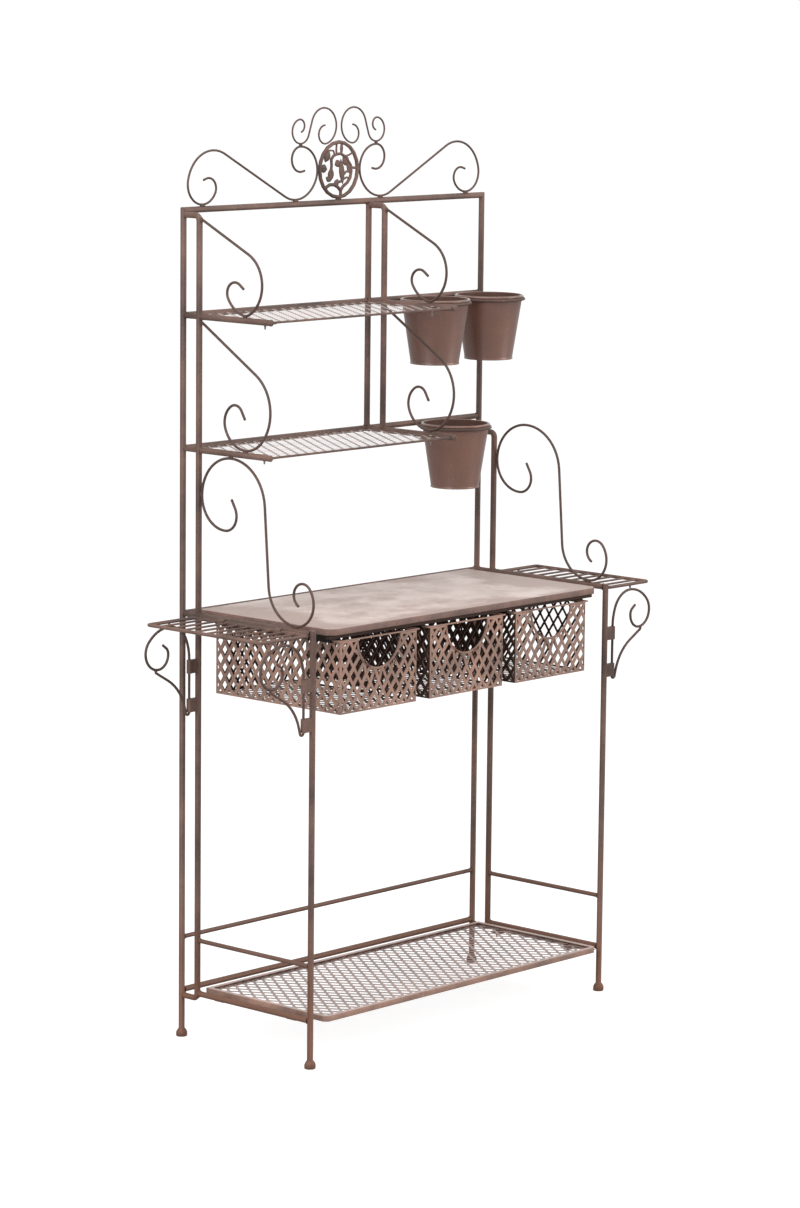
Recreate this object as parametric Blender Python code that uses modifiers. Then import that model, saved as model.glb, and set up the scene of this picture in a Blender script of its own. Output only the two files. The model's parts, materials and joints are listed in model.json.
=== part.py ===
"""Plant rack: a tube frame with a desk, three mesh drawers, two shelves, side leaves and hung pots.

Metres, +Z up, +X to the rack's right, front towards -Y. The origin is on the floor, under the
middle of the rack. Round wires are bent flat, as on a bending bench: see the class Wire.
"""

from math import atan2, ceil, cos, degrees, pi, radians, sin, sqrt

import bmesh
import bpy
from mathutils import Vector

# Clearance between pieces that touch, and between a shaft and its sleeve
GAP = 0.0003
SLEEVE_PLAY = 0.0005

# Tube frame, between tube axes
FRAME_WIDTH = 0.850
FRAME_DEPTH = 0.345
TUBE_R = 0.006
THIN_TUBE_R = 0.0045
FOOT_R = 0.011
FOOT_HEIGHT = 0.016
TOP_Z = 1.600
UPPER_SHELF_Z = 1.402
LOWER_SHELF_Z = 1.149
DESK_RAIL_Z = 0.831
MID_RAIL_Z = 0.197
BOTTOM_RAIL_Z = 0.092

# Posts: each stands in front of a rear leg, with its ends bent back to it
POST_FORWARD = 0.043
POST_BEND_R = 0.010
POST_TOP_DROP = 0.008
RIGHT_POST_DROP = 0.031
INNER_POST_SHARE = 0.207
STUB_R = 0.0055

# Scrolled round bar
SCROLL_R = 0.0026
UPPER_SCROLL_REST = 0.164
UPPER_SCROLL_DROP = 0.016
UPPER_SCROLL_RADII = (0.024, 0.063, 0.024, 0.061, 0.021)
UPPER_SCROLL_END = 0.012
LOWER_SCROLL_REST = 0.167
LOWER_SCROLL_RADII = (0.057, 0.082, 0.057, 0.0365, 0.020)
LOWER_SCROLL_END = 0.018
BIG_CURL_RADII = (0.0765, 0.062, 0.030)
BIG_CURL_END = 0.018
BIG_SHOULDER_R = 0.090
BIG_FOOT_PLACE = 0.301
BIG_FOOT_RADII = (0.072, 0.045, 0.023)
BIG_FOOT_END = 0.003

# Shelf arms, and the tabs under the shelves
ARM_REACH = 0.231
ARM_BORE_R = 0.0045
ARM_BORE_DEPTH = 0.012
ARM_TAB_PLACE = 0.193
ARM_TAB_LENGTH = 0.040
ARM_TAB_REACH = 0.034

# Desk top: a tray with cut front corners
DESK_SIDE_SPACE = 0.036
DESK_OVERHANG = 0.012
DESK_TOP_Z = 0.836
DESK_THICKNESS = 0.0125
DESK_CORNER_CUT = 0.014
DESK_BACK_SPACE = 0.001

# Angle tabs that carry the desk top and the bottom shelf
TAB_THICKNESS = 0.003
TAB_WIDTH = 0.024
TAB_OVERLAP = 0.012
TAB_INSET = 0.055

# Drawer front bar, runners and baskets
FRONT_BAR_END_SPACE = 0.008
FRONT_BAR_HEIGHT = 0.008
FRONT_BAR_DEPTH = 0.012
FRONT_BAR_SETBACK = 0.010
RUNNER_SHEET = 0.002
RUNNER_WEB = 0.0105
RUNNER_LIP = 0.006
RUNNER_END_SPACE = 0.014
RUNNER_BACK_SPACE = 0.030
DRAWER_DEPTH = 0.330
DRAWER_HEIGHT = 0.141
DRAWER_SHEET = 0.003
DRAWER_RIM = 0.003
DRAWER_FLANGE = 0.007
DRAWER_SIDE_PLAY = 0.0015
DRAWER_TOP_PLAY = 0.004
DRAWER_SETBACK = 0.005
HALF_MOON_R = 0.060
HALF_MOON_EDGE = 0.005

# Expanded metal: the strand, and the solid border round each panel
STRAND = 0.007
BORDER = 0.008

# Shelves between the arms, and the bottom shelf
SHELF_SHEET = 0.004
BOTTOM_SHELF_SIDE_SPACE = 0.027
BOTTOM_SHELF_RIM = 0.011
BOTTOM_SHELF_WALL = 0.003
BOTTOM_SHELF_BACK = 0.040
BOTTOM_SHELF_FRONT = 0.361
BOTTOM_SHELF_CORNER_CUT = 0.008

# Side leaves: a wire frame with cross rods, hinged beside the desk rails
LEAF_HINGE_OUT = 0.0130
LEAF_Z = 0.829
LEAF_WIDTH = 0.123
LEAF_BACK = 0.045
LEAF_FRONT = 0.343
LEAF_WIRE_R = 0.0035
LEAF_ROD_R = 0.0025
LEAF_CORNER_R = 0.014
LEAF_RODS = 9
LEAF_SLEEVE_R = 0.0058
LEAF_SLEEVE_LENGTH = 0.016
LEAF_WEB = 0.006
LEAF_PEG_PLACE = 0.067
LEAF_PEG_DROP = 0.0075

# Swing brackets that hold the leaves up
BRACKET_R = 0.0026
BRACKET_OUT = 0.024
BRACKET_BOTTOM_Z = 0.647
BRACKET_HAIRPIN_R = 0.0045
BRACKET_TAIL = 0.012
BRACKET_BRACE_R = 0.094
BRACKET_SHOULDER_RADII = (0.100, 0.0505)
BRACKET_CURL_RADII = (0.070, 0.033, 0.027, 0.014)
BRACKET_CURL_END = 0.011
BRACKET_SLEEVE_R = 0.0055
BRACKET_SLEEVE_LENGTH = 0.026
BRACKET_WEB = 0.008
BRACKET_SLEEVES_Z = (0.6605, 0.7355)

# Pots and their rings
POT_R = 0.070
POT_FOOT_R = 0.048
POT_HEIGHT = 0.130
POT_SHEET = 0.0015
POT_BEAD_R = 0.003
POT_FOOT_LIP = 0.0015
RING_WIRE_R = 0.003
RING_DROP = 0.004
UPPER_POT_LEFT_SPACE = 0.112
UPPER_POT_RIGHT_SPACE = 0.063
LOWER_POT_LEFT_SPACE = 0.177

# Crest
MEDALLION_R = 0.0575
MEDALLION_THICKNESS = 0.006
MEDALLION_LEAVES = 8
CREST_END_SPACE = 0.050
CREST_END_RADII = (0.039, 0.020)
CREST_END = 0.008
CREST_OUTER_R = 0.068
CREST_HUB_RADII = (0.0625, 0.047, 0.0245)
CREST_HUB_END = 0.006
CREST_CURL_RADII = (0.0235, 0.0125, 0.035, 0.018)
CREST_CURL_RUN = 0.030
CREST_CURL_END = 0.002

# Facets
ARC_STEP = 26
TUBE_RESOLUTION = 2
WIRE_RESOLUTION = 1
LEG_STEPS = 10
POT_STEPS = 16
SLEEVE_SIDES = 10

# Places worked out from the sizes above
HALF_WIDTH = FRAME_WIDTH / 2
INNER_POST_X = HALF_WIDTH * INNER_POST_SHARE
BACK_Y = (max(FRAME_DEPTH + DESK_OVERHANG, BOTTOM_SHELF_FRONT) - FOOT_R) / 2
FRONT_Y = BACK_Y - FRAME_DEPTH
DESK_HALF_WIDTH = HALF_WIDTH - DESK_SIDE_SPACE
DESK_FRONT_Y = FRONT_Y - DESK_OVERHANG
DESK_UNDER_Z = DESK_TOP_Z - DESK_THICKNESS
WIRE_ON_TUBE = TUBE_R + GAP + SCROLL_R
POST_Y = BACK_Y - POST_FORWARD
DRAWER_PITCH = 2 * (DESK_HALF_WIDTH - RUNNER_END_SPACE) / 3
DRAWER_WIDTH = DRAWER_PITCH - 2 * (RUNNER_WEB + DRAWER_SIDE_PLAY + DRAWER_FLANGE)
BOTTOM_SHELF_HALF_WIDTH = HALF_WIDTH - BOTTOM_SHELF_SIDE_SPACE


class Wire:
    """A wire bent flat in a plane with axes (u, z): straight runs, and bends to the left or right."""

    def __init__(self, point, heading):
        self.points = [Vector(point)]
        self.heading = radians(heading)

    def side_of(self, sign):
        """Unit vector to the left (sign 1) or right (sign -1) of the heading."""
        return Vector((-sin(self.heading), cos(self.heading))) * sign

    def forward(self, length):
        ahead = Vector((cos(self.heading), sin(self.heading)))
        self.points.append(self.points[-1] + ahead * length)
        return self

    def bend(self, radius, angle):
        """Bend by an angle in degrees, positive to the left."""
        sign = 1 if angle > 0 else -1
        centre = self.points[-1] + self.side_of(sign) * radius
        steps = max(1, ceil(abs(angle) / ARC_STEP))
        for _ in range(steps):
            self.heading += radians(angle) / steps
            self.points.append(centre - self.side_of(sign) * radius)
        return self

    def bend_towards(self, radius, sign, target, target_radius=0.0):
        """Bend, then run straight to a point, or to touch a circle that the wire then bends round."""
        offset = Vector(target) - self.points[-1] - self.side_of(sign) * radius
        across = -sign * (target_radius + radius)
        along = sqrt(offset.length_squared - across**2)
        turn = atan2(offset.y, offset.x) - atan2(across, along) - self.heading
        turn = (turn * sign) % (2 * pi) * sign
        return self.bend(radius, degrees(turn)).forward(along)


def joined(back, front):
    """The points of one wire, from two that start at the same point and run opposite ways."""
    return back.points[:0:-1] + front.points


def in_side_plane(points, x):
    """Points (forward from the rear legs, height) as places in the plane of one side frame."""
    return [Vector((x, BACK_Y - u, z)) for u, z in points]


def in_back_plane(points, side=1):
    """Points (across, height) as places in the plane of the rear legs, mirrored where side is -1."""
    return [Vector((side * u, BACK_Y, z)) for u, z in points]


def clear_scene():
    for obj in list(bpy.data.objects):
        bpy.data.objects.remove(obj, do_unlink=True)
    for name in ("object", "cutters"):
        collection = bpy.data.collections.new(name)
        bpy.context.scene.collection.children.link(collection)
        COLLECTIONS[name] = collection


def metal(name, colour, roughness, metallic):
    """A painted or bare metal surface."""
    surface = bpy.data.materials.new(name)
    surface.use_nodes = True
    shader = surface.node_tree.nodes["Principled BSDF"]
    shader.inputs["Base Color"].default_value = (*colour, 1.0)
    shader.inputs["Roughness"].default_value = roughness
    shader.inputs["Metallic"].default_value = metallic
    return surface


def add_object(name, data, surface, place=(0, 0, 0), collection="object"):
    obj = bpy.data.objects.new(name, data)
    obj.location = place
    COLLECTIONS[collection].objects.link(obj)
    if surface is not None and not data.materials:
        data.materials.append(surface)
    return obj


def tube(name, points, radius, surface, resolution=TUBE_RESOLUTION, cyclic=False):
    """A round bar or tube along a line of points, with filled ends."""
    origin = points[0]
    curve = bpy.data.curves.new(name, "CURVE")
    curve.dimensions = "3D"
    curve.bevel_depth = radius
    curve.bevel_resolution = resolution
    curve.use_fill_caps = True
    curve.render_resolution_u = 0
    spline = curve.splines.new("POLY")
    spline.points.add(len(points) - 1)
    for knot, point in zip(spline.points, points):
        knot.co = (*(point - origin), 1.0)
    spline.use_cyclic_u = cyclic
    spline.use_smooth = True
    return add_object(name, curve, surface, origin)


def plate(name, outlines, thickness, surface, collection="object"):
    """A flat plate in XY, centred on z = 0. Outlines inside the first one are holes in it."""
    curve = bpy.data.curves.new(name, "CURVE")
    curve.dimensions = "2D"
    curve.fill_mode = "BOTH"
    curve.extrude = thickness / 2
    curve.render_resolution_u = 0
    for outline in outlines:
        spline = curve.splines.new("POLY")
        spline.points.add(len(outline) - 1)
        for knot, point in zip(spline.points, outline):
            knot.co = (point[0], point[1], 0.0, 1.0)
        spline.use_cyclic_u = True
        spline.use_smooth = False
    return add_object(name, curve, surface, collection=collection)


def turned(name, profile, steps, surface):
    """A piece turned round Z from a profile of (radius, height) that runs down its outer side."""
    mesh = bpy.data.meshes.new(name)
    shape = bmesh.new()
    knots = [shape.verts.new((radius, 0.0, height)) for radius, height in profile]
    for start, end in zip(knots, knots[1:]):
        shape.edges.new((start, end))
    shape.to_mesh(mesh)
    shape.free()
    obj = add_object(name, mesh, surface)
    screw = obj.modifiers.new("turn", "SCREW")
    screw.steps = steps
    screw.render_steps = steps
    screw.use_merge_vertices = True
    screw.merge_threshold = 0.00001
    return obj


def as_mesh(obj):
    """The same piece as a plain mesh with its caps welded, in place of a curve or its modifiers."""
    bpy.context.view_layer.update()
    evaluated = obj.evaluated_get(bpy.context.evaluated_depsgraph_get())
    mesh = bpy.data.meshes.new_from_object(evaluated)
    shape = bmesh.new()
    shape.from_mesh(mesh)
    bmesh.ops.remove_doubles(shape, verts=shape.verts, dist=0.00001)
    shape.to_mesh(mesh)
    shape.free()
    name, owner = obj.name, obj.users_collection[0]
    matrix = obj.matrix_world.copy()
    bpy.data.objects.remove(obj, do_unlink=True)
    fresh = bpy.data.objects.new(name, mesh)
    owner.objects.link(fresh)
    fresh.matrix_world = matrix
    mesh.name = name
    return fresh


def combine(target, tool, operation):
    """Join a tool to a target, or cut it out of it, and keep the tool as a hidden guide."""
    modifier = target.modifiers.new(operation.lower(), "BOOLEAN")
    modifier.operation = operation
    modifier.object = tool
    if tool.users_collection[0] is not COLLECTIONS["cutters"]:
        COLLECTIONS["cutters"].objects.link(tool)
        COLLECTIONS["object"].objects.unlink(tool)
    tool.hide_render = True
    tool.display_type = "WIRE"


def box(name, low, high, surface, collection="object"):
    """A box between two corners."""
    mesh = bpy.data.meshes.new(name)
    shape = bmesh.new()
    bmesh.ops.create_cube(shape, size=1.0)
    size = Vector(high) - Vector(low)
    bmesh.ops.scale(shape, vec=size, verts=shape.verts)
    shape.to_mesh(mesh)
    shape.free()
    return add_object(name, mesh, surface, (Vector(low) + Vector(high)) / 2, collection)


def circle(radius, sides, centre=(0.0, 0.0)):
    return [
        (centre[0] + radius * cos(2 * pi * k / sides), centre[1] + radius * sin(2 * pi * k / sides))
        for k in range(sides)
    ]


def rounded_corners(corners, radius):
    """A line through corner points in one plane, with each inner corner as an arc."""
    path = [corners[0]]
    for before, corner, after in zip(corners, corners[1:], corners[2:]):
        into = (corner - before).normalized()
        out = (after - corner).normalized()
        angle = into.angle(out)
        setback = radius * sin(angle / 2) / cos(angle / 2)
        steps = ceil(degrees(angle) / ARC_STEP)
        normal = (out - into * into.dot(out)).normalized()
        start = corner - into * setback
        for k in range(steps + 1):
            part = angle * k / steps
            path.append(start + into * radius * sin(part) + normal * radius * (1 - cos(part)))
    path.append(corners[-1])
    return path


def diamonds(width, height, columns, rows, keep=None):
    """Staggered diamond holes of a panel of expanded metal, centred on the origin."""
    half_x = (width / 2 - BORDER) / columns
    half_z = (height / 2 - BORDER) / rows
    slant = sqrt(half_x**2 + half_z**2)
    across = half_x - STRAND / 2 * slant / half_z
    up = half_z - STRAND / 2 * slant / half_x
    holes = []
    for row in range(1, 2 * rows):
        for column in range(1, 2 * columns):
            if (row + column) % 2:
                continue
            x = (column - columns) * half_x
            z = (row - rows) * half_z
            if keep is None or keep(x, z, across, up):
                holes.append([(x + across, z), (x, z + up), (x - across, z), (x, z - up)])
    return holes


def rectangle(half_width, half_height, cut=0.0):
    """A rectangle, with its two lower corners cut off where cut is given."""
    corners = [(half_width, half_height), (-half_width, half_height)]
    if cut:
        corners += [(-half_width, cut - half_height), (cut - half_width, -half_height)]
        corners += [(half_width - cut, -half_height), (half_width, cut - half_height)]
    else:
        corners += [(-half_width, -half_height), (half_width, -half_height)]
    return corners


def sleeve_outline(reach, radius, bore, web):
    """A hinge sleeve seen along its bore, which is at the origin, with a web to a tube at -reach."""
    arm = sqrt(radius**2 - (web / 2) ** 2)
    first = atan2(web / 2, -arm)
    outline = [(-reach, web / 2), (-reach, -web / 2)]
    steps = SLEEVE_SIDES - 3
    for k in range(steps + 1):
        angle = -first + 2 * first * k / steps
        outline.append((radius * cos(angle), radius * sin(angle)))
    return [outline, circle(bore, SLEEVE_SIDES)]


def leg(name, x, y, top, surface, mitre=0):
    """A leg with its foot. A mitre of 1 or -1 slants its top up towards +X or -X."""
    shoulder = FOOT_HEIGHT * 0.75
    profile = [
        (0.0, top),
        (TUBE_R, top),
        (TUBE_R, FOOT_HEIGHT),
        (FOOT_R * 0.85, shoulder),
        (FOOT_R, FOOT_HEIGHT * 0.5),
        (FOOT_R, FOOT_HEIGHT * 0.12),
        (FOOT_R * 0.93, 0.0),
        (0.0, 0.0),
    ]
    obj = as_mesh(turned(name, profile, LEG_STEPS, surface))
    for vertex in obj.data.vertices:
        if vertex.co.z > top - TUBE_R:
            vertex.co.z += mitre * vertex.co.x
    obj.location = (x, y, 0.0)
    return obj


def rail_across(name, z, radius, surface, left=-HALF_WIDTH, right=HALF_WIDTH):
    """A rail between two upright tubes of the back frame."""
    reach = TUBE_R + GAP
    ends = [Vector((left + reach, BACK_Y, z)), Vector((right - reach, BACK_Y, z))]
    return tube(name, ends, radius, surface)


def build_back_frame(steel):
    for side, sign in (("left", -1), ("right", 1)):
        leg(f"rear_leg_{side}", sign * HALF_WIDTH, BACK_Y, TOP_Z, steel, mitre=sign)
    top_rail = as_mesh(
        tube(
            "top_rail",
            [Vector((-HALF_WIDTH, BACK_Y, TOP_Z)), Vector((HALF_WIDTH, BACK_Y, TOP_Z))],
            TUBE_R,
            steel,
        )
    )
    for vertex in top_rail.data.vertices:
        end = -1 if vertex.co.x < HALF_WIDTH else 1
        vertex.co.x += end * (vertex.co.z - 2 * GAP)
    rail_across("upper_shelf_rail", UPPER_SHELF_Z, TUBE_R, steel)
    rail_across("lower_shelf_rail", LOWER_SHELF_Z, TUBE_R, steel)
    rail_across("desk_rear_rail", DESK_RAIL_Z, TUBE_R, steel)
    rail_across("lower_back_rail", MID_RAIL_Z, THIN_TUBE_R, steel)
    rail_across("bottom_rear_rail", BOTTOM_RAIL_Z, TUBE_R, steel)
    spans = (("upper", UPPER_SHELF_Z, TOP_Z), ("lower", LOWER_SHELF_Z, UPPER_SHELF_Z))
    for part, low, high in spans:
        ends = [
            Vector((INNER_POST_X, BACK_Y, low + TUBE_R + GAP)),
            Vector((INNER_POST_X, BACK_Y, high - TUBE_R - GAP)),
        ]
        tube(f"inner_rear_post_{part}", ends, TUBE_R, steel)


def front_post(name, x, top, bottom, steel):
    """A post in front of a rear tube, bent back to it at both ends."""
    wall = BACK_Y - TUBE_R - GAP
    corners = [
        Vector((x, wall, top)),
        Vector((x, POST_Y, top)),
        Vector((x, POST_Y, bottom)),
        Vector((x, wall, bottom)),
    ]
    return tube(name, rounded_corners(corners, POST_BEND_R), TUBE_R, steel)


def add_stubs(post, x, levels):
    """Short tubes that hold a post off the tube behind it, joined to the post."""
    wall = BACK_Y - TUBE_R - GAP
    for number, z in enumerate(levels):
        ends = [Vector((x, wall, z)), Vector((x, POST_Y, z))]
        combine(post, as_mesh(tube(f"{post.name}_stub_{number}", ends, STUB_R, None)), "UNION")


def add_bracket_sleeves(carrier, sign, y):
    """The two sleeves that a swing bracket turns in, joined to their leg or post."""
    for number, z in enumerate(BRACKET_SLEEVES_Z):
        sleeve = plate(
            f"{carrier.name}_sleeve_{number}",
            sleeve_outline(BRACKET_OUT, BRACKET_SLEEVE_R, BRACKET_R + SLEEVE_PLAY, BRACKET_WEB),
            BRACKET_SLEEVE_LENGTH,
            None,
        )
        sleeve = as_mesh(sleeve)
        sleeve.location = (sign * (HALF_WIDTH + BRACKET_OUT), y, z)
        sleeve.rotation_euler.z = 0.0 if sign > 0 else pi
        combine(carrier, sleeve, "UNION")


def build_side_frames(steel):
    """Posts, front legs and side rails, with the sleeves of the leaves and their brackets."""
    post_top = TOP_Z - POST_TOP_DROP
    post_bottom = BOTTOM_RAIL_Z - POST_BEND_R
    tops = {"left": post_top, "right": LOWER_SHELF_Z - RIGHT_POST_DROP}
    levels = {"left": (UPPER_SHELF_Z, LOWER_SHELF_Z, DESK_RAIL_Z), "right": (DESK_RAIL_Z,)}
    post = as_mesh(front_post("inner_front_post", INNER_POST_X, post_top, LOWER_SHELF_Z, steel))
    add_stubs(post, INNER_POST_X, (UPPER_SHELF_Z,))
    for side, sign in (("left", -1), ("right", 1)):
        x = sign * HALF_WIDTH
        post = as_mesh(front_post(f"side_post_{side}", x, tops[side], post_bottom, steel))
        add_stubs(post, x, levels[side])
        add_bracket_sleeves(post, sign, POST_Y)
        front_leg = leg(f"front_leg_{side}", x, FRONT_Y, DESK_RAIL_Z + TUBE_R, steel)
        add_bracket_sleeves(front_leg, sign, FRONT_Y)
        for name, z, radius in (
            ("desk", DESK_RAIL_Z, TUBE_R),
            ("mid", MID_RAIL_Z, THIN_TUBE_R),
            ("bottom", BOTTOM_RAIL_Z, TUBE_R),
        ):
            reach = TUBE_R + GAP
            ends = [Vector((x, POST_Y - reach, z)), Vector((x, FRONT_Y + reach, z))]
            rail = tube(f"{name}_side_rail_{side}", ends, radius, steel)
            if name == "desk":
                rail = as_mesh(rail)
                add_leaf_sleeves(rail, sign)
                add_tabs(rail, sign, z, DESK_UNDER_Z, DESK_SIDE_SPACE + TAB_OVERLAP)
            elif name == "bottom":
                rail = as_mesh(rail)
                under = bottom_shelf_top() - BOTTOM_SHELF_RIM
                add_tabs(rail, sign, z, under, BOTTOM_SHELF_SIDE_SPACE + TAB_OVERLAP)


def add_tabs(rail, sign, rail_z, under_z, reach):
    """Two angle tabs on the inside of a side rail, for what rests at the height under_z."""
    top = under_z - GAP
    low = top - TAB_THICKNESS
    wall = TUBE_R - TAB_THICKNESS / 2
    profile = [
        (wall, low),
        (reach, low),
        (reach, top),
        (wall + TAB_THICKNESS, top),
        (wall + TAB_THICKNESS, rail_z),
        (wall, rail_z),
    ]
    for number, y in enumerate((FRONT_Y + TAB_INSET, POST_Y - TAB_INSET)):
        tab = as_mesh(plate(f"{rail.name}_tab_{number}", [profile], TAB_WIDTH, None))
        tab.rotation_euler = (pi / 2, 0.0, 0.0 if sign < 0 else pi)
        tab.location = (sign * HALF_WIDTH, y, 0.0)
        combine(rail, tab, "UNION")


def leaf_rod_places():
    """Places of a leaf's cross rods, forward from the rear legs."""
    pitch = (LEAF_FRONT - LEAF_BACK) / (LEAF_RODS + 1)
    return [LEAF_BACK + pitch * (k + 1) for k in range(LEAF_RODS)]


def add_leaf_sleeves(rail, sign):
    """Two sleeves on a desk side rail for the leaf's inner wire, each between two rods."""
    rods = leaf_rod_places()
    for number, first in enumerate((1, LEAF_RODS - 3)):
        sleeve = plate(
            f"{rail.name}_sleeve_{number}",
            sleeve_outline(LEAF_HINGE_OUT, LEAF_SLEEVE_R, LEAF_WIRE_R + SLEEVE_PLAY, LEAF_WEB),
            LEAF_SLEEVE_LENGTH,
            None,
        )
        sleeve = as_mesh(sleeve)
        sleeve.rotation_euler = (pi / 2, 0.0, 0.0 if sign > 0 else pi)
        sleeve.location = (
            sign * (HALF_WIDTH + LEAF_HINGE_OUT),
            BACK_Y - (rods[first] + rods[first + 1]) / 2,
            LEAF_Z,
        )
        combine(rail, sleeve, "UNION")


def build_arms(steel):
    """Four shelf arms: tubes with open front ends, on the left and the inner post."""
    bend_face = 2 * sqrt(POST_BEND_R * TUBE_R) - POST_BEND_R
    for level, z in (("upper", UPPER_SHELF_Z), ("lower", LOWER_SHELF_Z)):
        for side, x in (("left", -HALF_WIDTH), ("inner", INNER_POST_X)):
            on_bend = level == "lower" and side == "inner"
            start = POST_FORWARD + GAP + (bend_face if on_bend else TUBE_R)
            length = ARM_REACH - start
            profile = [
                (0.0, length - ARM_BORE_DEPTH),
                (ARM_BORE_R, length - ARM_BORE_DEPTH),
                (ARM_BORE_R, length),
                (TUBE_R, length),
                (TUBE_R, 0.0),
                (0.0, 0.0),
            ]
            arm = turned(f"{level}_arm_{side}", profile, LEG_STEPS, steel)
            arm.location = (x, BACK_Y - start, z)
            arm.rotation_euler.x = pi / 2
            inward = ARM_TAB_REACH if side == "left" else -ARM_TAB_REACH
            top = z - SHELF_SHEET / 2 - GAP
            tab_y = BACK_Y - ARM_TAB_PLACE
            tab = box(
                f"{level}_arm_{side}_tab",
                (min(x, x + inward), tab_y - ARM_TAB_LENGTH / 2, top - TAB_THICKNESS),
                (max(x, x + inward), tab_y + ARM_TAB_LENGTH / 2, top),
                None,
                "cutters",
            )
            combine(as_mesh(arm), tab, "UNION")


def side_scroll(contact, start, radii, turns, end):
    """A scroll that rests on an arm at contact and runs straight up from its curl to start."""
    back = Wire(contact, 0.0).bend(radii[0], turns[0]).bend_towards(radii[1], 1, start)
    front = Wire(contact, 180.0)
    for radius, angle in zip(radii[2:], turns[1:]):
        front.bend(radius, -angle)
    return joined(back, front.forward(end))


def build_side_scrolls(iron):
    """A small scroll over each arm, and a big one between each side's post and desk rail."""
    post_face = POST_FORWARD + WIRE_ON_TUBE
    for side, x in (("left", -HALF_WIDTH), ("inner", INNER_POST_X)):
        upper = side_scroll(
            contact=(UPPER_SCROLL_REST, UPPER_SHELF_Z + WIRE_ON_TUBE),
            start=(post_face, TOP_Z - UPPER_SCROLL_DROP),
            radii=UPPER_SCROLL_RADII,
            turns=(29, 13, 47, 157),
            end=UPPER_SCROLL_END,
        )
        tube(f"upper_scroll_{side}", in_side_plane(upper, x), SCROLL_R, iron, WIRE_RESOLUTION)
        lower = side_scroll(
            contact=(LOWER_SCROLL_REST, LOWER_SHELF_Z + WIRE_ON_TUBE),
            start=(post_face, UPPER_SHELF_Z - TUBE_R - 2 * SCROLL_R - GAP),
            radii=LOWER_SCROLL_RADII,
            turns=(45, 70, 77, 93),
            end=LOWER_SCROLL_END,
        )
        tube(f"lower_scroll_{side}", in_side_plane(lower, x), SCROLL_R, iron, WIRE_RESOLUTION)
    curl_top = LOWER_SHELF_Z - WIRE_ON_TUBE
    curl_r, under_r, inner_r = BIG_CURL_RADII
    foot_r, rise_r, tip_r = BIG_FOOT_RADII
    foot = Vector((BIG_FOOT_PLACE, DESK_RAIL_Z + WIRE_ON_TUBE + foot_r))
    touch = (post_face, curl_top - curl_r)
    back = Wire(touch, -90.0).bend(under_r, 90).bend(inner_r, 120).forward(BIG_CURL_END)
    front = Wire(touch, 90.0).bend(curl_r, -90).bend_towards(BIG_SHOULDER_R, -1, foot, foot_r)
    front.bend(foot_r, degrees(-front.heading))
    front.bend(rise_r, 130).bend(tip_r, 195).forward(BIG_FOOT_END)
    for side, sign in (("left", -1), ("right", 1)):
        path = in_side_plane(joined(back, front), sign * HALF_WIDTH)
        tube(f"big_scroll_{side}", path, SCROLL_R, iron, WIRE_RESOLUTION)


def build_crest(iron):
    """Scrolls and a pierced medallion on the top rail."""
    rest_z = TOP_Z + WIRE_ON_TUBE
    inner_r, middle_r, hub_end_r = CREST_HUB_RADII
    end_r, end_tip_r = CREST_END_RADII
    inner_turn = 63.0
    turn = radians(inner_turn)
    shift = inner_r - middle_r
    reach = middle_r + shift * sin(turn)
    hub = Vector((-(MEDALLION_R + GAP + SCROLL_R + reach), rest_z))
    end = (CREST_END_SPACE - HALF_WIDTH, rest_z)
    back = Wire(end, 0.0).bend(end_r, 60).bend(end_tip_r, 138).forward(CREST_END)
    front = Wire(end, 180.0).bend(end_r, -101)
    front.bend_towards(CREST_OUTER_R, -1, hub + Vector((0.0, inner_r)), inner_r)
    front.bend(inner_r, inner_turn - (degrees(front.heading) + 180) % 360 + 180)
    front.bend(middle_r, 180 - inner_turn).bend(hub_end_r, 193).forward(CREST_HUB_END)
    big = joined(back, front)
    curl_top = Vector((hub.x + shift * sin(turn), rest_z + inner_r - shift * cos(turn) + middle_r))
    seat = curl_top + Vector((0.0, 2 * SCROLL_R + GAP))
    low_r, low_tip_r, high_r, high_tip_r = CREST_CURL_RADII
    back = Wire(seat, 180.0).bend(low_r, -169).bend(low_tip_r, -165).forward(CREST_CURL_END)
    front = Wire(seat, 0.0).bend(low_r, 71).forward(CREST_CURL_RUN)
    front.bend(high_r, -239).bend(high_tip_r, -190)
    small = joined(back, front)
    for side, sign in (("left", 1), ("right", -1)):
        tube(f"crest_scroll_{side}", in_back_plane(big, sign), SCROLL_R, iron, WIRE_RESOLUTION)
        tube(f"crest_curl_{side}", in_back_plane(small, sign), SCROLL_R, iron, WIRE_RESOLUTION)
    medallion = plate("medallion", medallion_outlines(), MEDALLION_THICKNESS, iron)
    medallion.rotation_euler.x = pi / 2
    medallion.location = (0.0, BACK_Y, TOP_Z + TUBE_R + GAP + MEDALLION_R)


def medallion_outlines():
    """A disc pierced by a ring of pointed leaves round a plain boss."""
    outlines = [circle(MEDALLION_R, 32)]
    root, tip, belly = MEDALLION_R * 0.30, MEDALLION_R * 0.86, MEDALLION_R * 0.16
    for k in range(MEDALLION_LEAVES):
        angle = 2 * pi * k / MEDALLION_LEAVES
        ahead = Vector((cos(angle), sin(angle)))
        across = Vector((-sin(angle), cos(angle))) * belly
        waist = root + (tip - root) * 0.6
        outlines.append(
            [ahead * root, ahead * waist + across, ahead * tip, ahead * waist - across]
        )
    return outlines


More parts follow.
